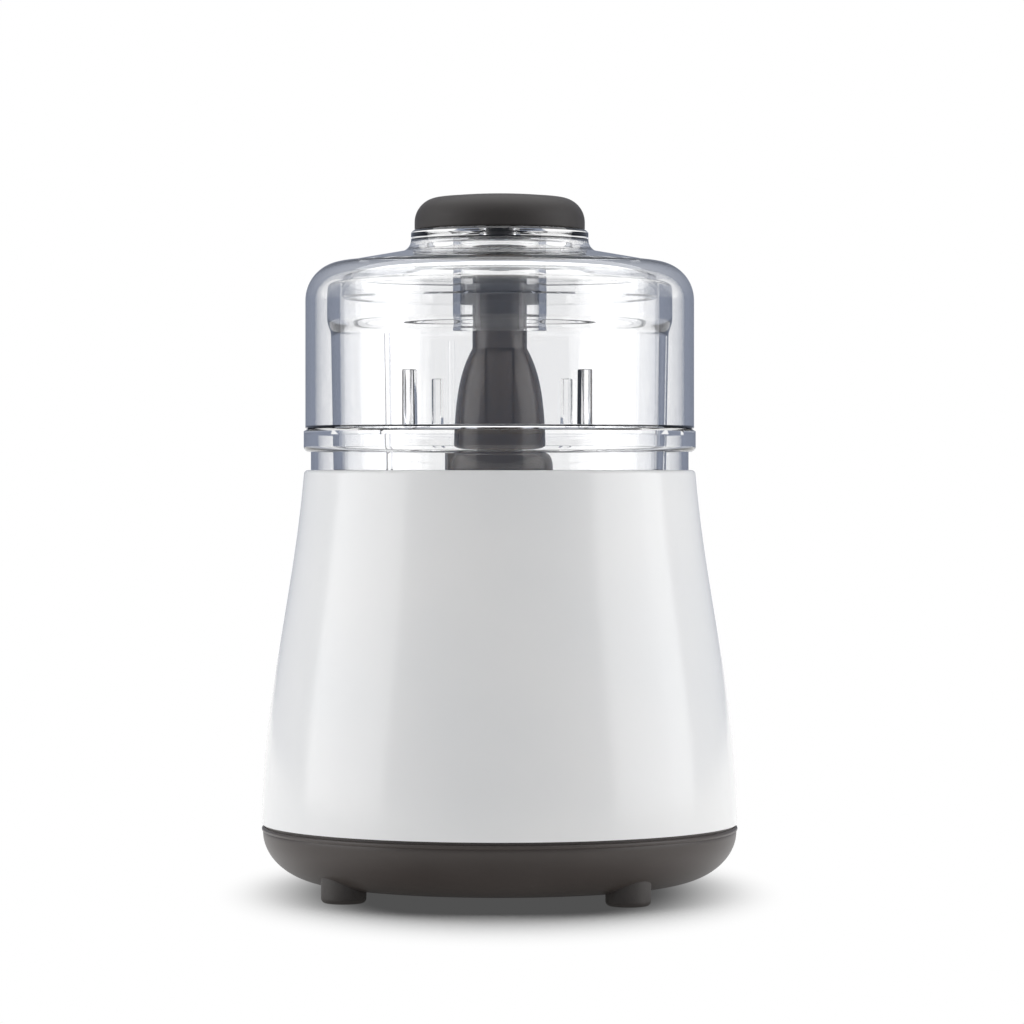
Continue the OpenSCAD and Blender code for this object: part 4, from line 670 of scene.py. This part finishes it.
def metal(name, dark, light, roughness, streak_mm, streak_depth_mm, streak_axis):
    """Worked metal: fine tool marks drawn out along one axis."""
    made, tree, shader, place = material(name)
    stretch = [1.0, 1.0, 1.0]
    stretch[streak_axis] = MARK_SQUEEZE
    drawn = add(tree, "ShaderNodeMapping", {"Scale": stretch}, {"Vector": place})
    marks = add(tree, "ShaderNodeTexNoise", {"Scale": 1 / (streak_mm * MM), "Detail": 4.0},
                {"Vector": drawn.outputs["Vector"]})
    tone = add(tree, "ShaderNodeValToRGB", {}, {"Fac": marks.outputs["Fac"]})
    tone.color_ramp.elements[0].position = MARK_BAND[0]
    tone.color_ramp.elements[0].color = linear(dark)
    tone.color_ramp.elements[1].position = MARK_BAND[1]
    tone.color_ramp.elements[1].color = linear(light)
    gloss = add(tree, "ShaderNodeMapRange", {"To Min": roughness[0], "To Max": roughness[1]},
                {"Value": marks.outputs["Fac"]})
    bump = add(tree, "ShaderNodeBump", {"Strength": 1.0, "Distance": streak_depth_mm * MM},
               {"Height": marks.outputs["Fac"]})
    tree.links.new(tone.outputs["Color"], shader.inputs["Base Color"])
    tree.links.new(gloss.outputs["Result"], shader.inputs["Roughness"])
    tree.links.new(bump.outputs["Normal"], shader.inputs["Normal"])
    shader.inputs["Metallic"].default_value = 1.0
    return made


def clear_plastic(name, tint, roughness):
    """Clear styrene plastic: polished faces with faint handling haze."""
    made, tree, shader, place = material(name)
    haze = add(tree, "ShaderNodeTexNoise", {"Scale": 1 / HAZE_SIZE, "Detail": 4.0}, {"Vector": place})
    gloss = add(tree, "ShaderNodeMapRange", {"From Min": HAZE_BAND[0], "From Max": HAZE_BAND[1],
                                             "To Min": roughness[0], "To Max": roughness[1]},
                {"Value": haze.outputs["Fac"]})
    tree.links.new(gloss.outputs["Result"], shader.inputs["Roughness"])
    shader.inputs["Base Color"].default_value = linear(tint)
    shader.inputs["Transmission Weight"].default_value = 1.0
    shader.inputs["IOR"].default_value = CLEAR_IOR
    return made


def layered(name, dark, light, layer_mm, roughness, metallic):
    """Stacked sheets or wound wire: thin bands one above the other."""
    made, tree, shader, place = material(name)
    bands = add(tree, "ShaderNodeTexWave", {"Scale": 1 / (layer_mm * MM) / WAVE_BANDS,
                                            "bands_direction": "Z", "Distortion": BAND_WAVER},
                {"Vector": place})
    tone = add(tree, "ShaderNodeValToRGB", {}, {"Fac": bands.outputs["Fac"]})
    tone.color_ramp.elements[0].color = linear(dark)
    tone.color_ramp.elements[1].color = linear(light)
    bump = add(tree, "ShaderNodeBump", {"Strength": BAND_STRENGTH, "Distance": BAND_RELIEF},
               {"Height": bands.outputs["Fac"]})
    tree.links.new(tone.outputs["Color"], shader.inputs["Base Color"])
    tree.links.new(bump.outputs["Normal"], shader.inputs["Normal"])
    shader.inputs["Roughness"].default_value = roughness
    shader.inputs["Metallic"].default_value = metallic
    return made


# Polished-mould ABS, white: soft-edged reflections and a barely visible flow in the surface
white_abs = moulded("white_gloss_abs", "#eeeff0", "#f3f3f3", (0.15, 0.2), 60, 7, 0.004)
# Fine-matte polypropylene: pale, soft highlights, for inner mouldings
white_pp = moulded("white_matte_polypropylene", "#d9d9d6", "#e2e2e0", (0.42, 0.5), 30, 0.7, 0.02, 1.49)
# Semi-gloss ABS, warm dark grey: broad soft reflections of the room
dark_abs = moulded("dark_grey_semigloss_abs", "#423c39", "#48423f", (0.34, 0.4), 40, 4.0, 0.003, 1.42)
# Satin ABS, warm dark grey: soft highlights down both sides, seen through the clear walls
hub_abs = moulded("dark_grey_satin_abs", "#3f3328", "#46392d", (0.2, 0.26), 20, 2.0, 0.003, 1.55)
# Spark-eroded ABS, warm dark grey: matte with a fine grain, drawn coarser than life to show
knob_abs = moulded("dark_grey_matte_abs", "#2f2b29", "#363230", (0.5, 0.6), 25, 0.8, 0.03, 1.42)
# Moulded rubber: dark and dull, slightly dusty
foot_rubber = moulded("moulded_dark_rubber", "#3a3633", "#443f3c", (0.5, 0.62), 12, 0.6, 0.03, 1.52)
# Nitrile rubber, oiled: dull red-brown
seal_rubber = moulded("oiled_nitrile_rubber", "#4a221c", "#5a2a22", (0.4, 0.5), 8, 0.5, 0.02, 1.52)
# Grey acetal: waxy sheen
grey_acetal = moulded("grey_acetal", "#8c8c8a", "#969694", (0.3, 0.4), 15, 0.8, 0.01, 1.48)
# Ivory nylon: waxy, slightly yellowed
ivory_nylon = moulded("ivory_nylon", "#d8ccae", "#e2d8bd", (0.35, 0.45), 12, 0.8, 0.012)
# Brown phenolic: thermoset with a dull polish
brown_phenolic = moulded("brown_phenolic", "#4a2f1c", "#5c3a22", (0.3, 0.42), 5, 0.6, 0.012, 1.6)
# Red acetal button
red_acetal = moulded("red_acetal", "#a51d18", "#b3241d", (0.3, 0.38), 6, 0.6, 0.006, 1.48)
# Pressed carbon: black, slightly shiny from wear
pressed_carbon = moulded("pressed_carbon", "#1c1c1d", "#29292a", (0.35, 0.5), 1.5, 0.3, 0.01, 1.8)
# Clear styrene plastic, polished mould: water-clear with cool edges
clear_san = clear_plastic("clear_polished_san", "#ffffff", (0.0, 0.03))
# Ground stainless steel: straight fine grind marks across the blade
ground_stainless = metal("ground_stainless_steel", "#a9abae", "#c9cbcd", (0.18, 0.32), 0.5, 0.004, 1)
# Turned and ground bright steel
bright_steel = metal("ground_bright_steel", "#9d9fa2", "#babcbe", (0.2, 0.34), 0.6, 0.004, 2)
# Zinc-plated steel: pale with a faint blue cast
zinc_steel = metal("zinc_plated_steel", "#9aa0a6", "#b8bcc1", (0.28, 0.42), 1.5, 0.005, 0)
# Die-cast alloy: dull silver with flow marks
cast_alloy = metal("die_cast_alloy", "#8f9092", "#a6a7a9", (0.42, 0.56), 4, 0.02, 0)
# Turned copper bars
turned_copper = metal("turned_copper", "#a5603c", "#c27a52", (0.22, 0.36), 0.6, 0.004, 2)
# Punched lamination stack: dark steel sheets of half a millimetre, drawn as bands
lamination = layered("punched_lamination_stack", "#3f4245", "#5c6063", 0.9, 0.45, 0.7)
# Enamelled copper wire, wound: red-brown bands with a varnish gloss
enamelled_wire = layered("wound_enamelled_copper", "#5e2410", "#9a4a22", 0.9, 0.3, 0.3)


def finish_with(piece, chosen):
    piece.data.materials.clear()
    piece.data.materials.append(chosen)


def add_piece(piece, body, replaced, chosen):
    finish_with(piece, chosen)
    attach(piece, body)
    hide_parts(*replaced)


add_piece(make_housing(), "base", ["housing_shell", "housing_mouth"], white_abs)
add_piece(make_pan(), "base", ["base_pan"], dark_abs)
add_piece(make_feet(), "base", ["feet"], foot_rubber)
add_piece(make_bowl(), "bowl", ["bowl", "bowl_post", "bowl_flange", "bowl_ribs"],
          clear_san)
add_piece(make_lid(), "lid", ["lid_dome", "lid_collar", "lid_plug"], clear_san)
add_piece(make_knob(), "lid", ["lid_knob"], knob_abs)
add_piece(make_hub(), "blade", ["blade_hub", "hub_neck"], hub_abs)

springs = make_springs()
add_piece(springs, "base", ["press_springs"], bright_steel)
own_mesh(springs)

NODE_FINISHES = {
    white_pp: ["housing_bosses", "well_deck", "press_ring"],
    foot_rubber: ["cord_gland", "motor_dampers"],
    seal_rubber: ["shaft_seal"],
    zinc_steel: ["base_screws", "deck_screws", "motor_bolts", "motor_nuts", "damper_screws",
                 "switch_screws", "suppressor_strap", "pan_screws", "blade_screws", "knob_screw"],
    lamination: ["motor_stator", "armature_core"],
    enamelled_wire: ["field_coils", "armature_windings"],
    cast_alloy: ["lower_bracket", "upper_bracket"],
    bright_steel: ["lower_bearing", "upper_bearing", "brush_springs", "motor_shaft",
                   "switch_lever", "lever_pin", "drive_socket"],
    brown_phenolic: ["brush_holders"],
    pressed_carbon: ["carbon_brushes"],
    turned_copper: ["commutator"],
    hub_abs: ["blade_spacer", "blade_clamp_ring"],
    knob_abs: ["cooling_fan", "drive_dog", "micro_switch", "knob_retainer"],
    grey_acetal: ["press_collars", "spring_caps"],
    red_acetal: ["switch_button"],
    ivory_nylon: ["terminal_block", "suppressor"],
    ground_stainless: ["upper_blade", "lower_blade"],
}
for chosen, names in NODE_FINISHES.items():
    for name in names:
        for place in nodes[name].material_slots:
            place.material = chosen

# Studio: the floor's size and paper, and the soft light that plain surfaces get from all round
FLOOR_SIZE = 8
FLOOR_TONE = "#fcfcfc"
FILL_TONE = "#4c4c4c"
# Soft light that reaches the inside through the clear walls, where the lamps' own light is lost
INNER_TONE = "#f0f0f0"
# The seen floor fades to white between two distances from the shaft axis. The share draws the ring out
# into an oval, longer from front to back, and the least is how much white shows in its middle
FADE_FROM = 0.052
FADE_TO = 0.104
FADE_SHARE = 0.55
FADE_LEAST = 0.08
# Painted shade on the seen floor near the object, darkened into the paper's colour: how far off a piece
# still counts, and the openness up to which the floor is black
SHADE_REACH = 0.4
SHADE_FROM = 0.6
SHADE_SAMPLES = 8
# Share of white in the light that the floor throws back onto the object
FLOOR_GLOW = 0.4
# What mirrored rays see: the room's wall at eye level and its ceiling
WALL_TONE = "#868d9d"
CEILING_TONE = "#c3c6cb"

# Camera at the photograph's height and distance, with the picture's own shift
CAMERA_BACK = 1.537
FOCAL_MM = 148.9
SENSOR_MM = 36.0
CAMERA_SHIFT = (0.012, -0.041)
camera_data = bpy.data.cameras.new("camera")
camera_data.lens = FOCAL_MM
camera_data.sensor_width = SENSOR_MM
camera_data.shift_x, camera_data.shift_y = CAMERA_SHIFT
camera = bpy.data.objects.new("camera", camera_data)
camera.location = (0, -CAMERA_BACK, RIM_Z)
camera.rotation_euler = (math.pi / 2, 0, 0)
bpy.context.scene.collection.objects.link(camera)
bpy.context.scene.camera = camera


# Pale floor that fades to white, with painted shade near the object, seen directly or through the clear
# walls
def make_floor():
    bpy.ops.object.select_all(action="DESELECT")
    bpy.ops.mesh.primitive_plane_add(size=FLOOR_SIZE, location=(0, 0, 0))
    floor = bpy.context.object
    floor.name = "studio_floor"
    made = bpy.data.materials.new("pale_paper_floor")
    made.use_nodes = True
    tree = made.node_tree
    tree.nodes.clear()
    paper = add(tree, "ShaderNodeBsdfDiffuse", {"Color": linear(FLOOR_TONE)})
    white = add(tree, "ShaderNodeEmission", {"Color": (1, 1, 1, 1), "Strength": 1.0})
    place = add(tree, "ShaderNodeTexCoord")
    oval = add(tree, "ShaderNodeMapping", {"Scale": (1.0, FADE_SHARE, 1.0)},
               {"Vector": place.outputs["Object"]})
    reach = add(tree, "ShaderNodeVectorMath", {"operation": "LENGTH"})
    tree.links.new(oval.outputs["Vector"], reach.inputs[0])
    fade = add(tree, "ShaderNodeMapRange", {"interpolation_type": "SMOOTHSTEP", "From Min": FADE_FROM,
                                            "From Max": FADE_TO, "To Min": FADE_LEAST},
               {"Value": reach.outputs["Value"]})
    path = add(tree, "ShaderNodeLightPath")
    # Painted shade: the paper's colour runs down to black where the object stands near
    painted_shade_occlusion = add(tree, "ShaderNodeAmbientOcclusion", {"Distance": SHADE_REACH, "samples": SHADE_SAMPLES})
    tone = add(tree, "ShaderNodeValToRGB", {}, {"Fac": painted_shade_occlusion.outputs["AO"]})
    tone.color_ramp.elements[0].position = SHADE_FROM
    tone.color_ramp.elements[0].color = (0, 0, 0, 1)
    tone.color_ramp.elements[1].color = linear(FLOOR_TONE)
    painted_shade_paper = add(tree, "ShaderNodeBsdfDiffuse", {}, {"Color": tone.outputs["Color"]})
    seen = add(tree, "ShaderNodeMixShader", {}, {"Fac": fade.outputs["Result"]})
    tree.links.new(painted_shade_paper.outputs[0], seen.inputs[1])
    tree.links.new(white.outputs[0], seen.inputs[2])
    bounce = add(tree, "ShaderNodeMixShader", {"Fac": FLOOR_GLOW})
    tree.links.new(paper.outputs[0], bounce.inputs[1])
    tree.links.new(white.outputs[0], bounce.inputs[2])
    total = add(tree, "ShaderNodeMixShader", {}, {"Fac": path.outputs["Diffuse Depth"]})
    tree.links.new(seen.outputs[0], total.inputs[1])
    tree.links.new(bounce.outputs[0], total.inputs[2])
    add(tree, "ShaderNodeOutputMaterial", {}, {"Surface": total.outputs[0]})
    finish_with(floor, made)


# White behind the object, a cool room in the reflections and soft light on plain surfaces
def make_world():
    world = bpy.data.worlds.new("studio_surround")
    bpy.context.scene.world = world
    world.use_nodes = True
    tree = world.node_tree
    tree.nodes.clear()
    place = add(tree, "ShaderNodeTexCoord")
    axes = add(tree, "ShaderNodeSeparateXYZ", {}, {"Vector": place.outputs["Generated"]})
    tone = add(tree, "ShaderNodeValToRGB", {}, {"Fac": axes.outputs["Z"]})
    tone.color_ramp.elements[0].color = linear(WALL_TONE)
    tone.color_ramp.elements[1].color = linear(CEILING_TONE)
    room = add(tree, "ShaderNodeBackground", {"Strength": 1.0}, {"Color": tone.outputs["Color"]})
    fill = add(tree, "ShaderNodeBackground", {"Color": linear(FILL_TONE), "Strength": 1.0})
    white = add(tree, "ShaderNodeBackground", {"Color": (1, 1, 1, 1), "Strength": 1.0})
    path = add(tree, "ShaderNodeLightPath")
    mirrored = add(tree, "ShaderNodeMixShader", {}, {"Fac": path.outputs["Glossy Depth"]})
    tree.links.new(white.outputs[0], mirrored.inputs[1])
    tree.links.new(room.outputs[0], mirrored.inputs[2])
    inner = add(tree, "ShaderNodeBackground", {"Color": linear(INNER_TONE), "Strength": 1.0})
    soft = add(tree, "ShaderNodeMixShader", {}, {"Fac": path.outputs["Is Transmission Ray"]})
    tree.links.new(fill.outputs[0], soft.inputs[1])
    tree.links.new(inner.outputs[0], soft.inputs[2])
    lit = add(tree, "ShaderNodeMixShader", {}, {"Fac": path.outputs["Diffuse Depth"]})
    tree.links.new(mirrored.outputs[0], lit.inputs[1])
    tree.links.new(soft.outputs[0], lit.inputs[2])
    add(tree, "ShaderNodeOutputWorld", {}, {"Surface": lit.outputs[0]})


def softbox(name, place, target, size, power):
    data = bpy.data.lights.new(name, "AREA")
    data.shape = "RECTANGLE"
    data.size, data.size_y = size
    data.energy = power
    lamp = bpy.data.objects.new(name, data)
    bpy.context.scene.collection.objects.link(lamp)
    lamp.location = place
    aim = [t - p for t, p in zip(target, place)]
    flat = math.hypot(aim[0], aim[1])
    lamp.rotation_euler = (math.atan2(flat, -aim[2]), 0, math.atan2(-aim[0], aim[1]))


# Lamps: name, place, target, size and power
SOFTBOXES = [
    ("left_softbox", (-1.2, -0.2, 0.45), (0, 0, 0.1), (1.2, 1.2), 8.8),
    ("right_softbox", (1.2, -0.2, 0.45), (0, 0, 0.1), (1.2, 1.2), 8.8),
    ("top_softbox", (0, 0.2, 1.45), (0, 0, 0), (2.0, 1.6), 18),
]

make_floor()
make_world()
for name, place, target, size, power in SOFTBOXES:
    softbox(name, place, target, size, power)

bpy.context.scene.view_settings.view_transform = "Standard"
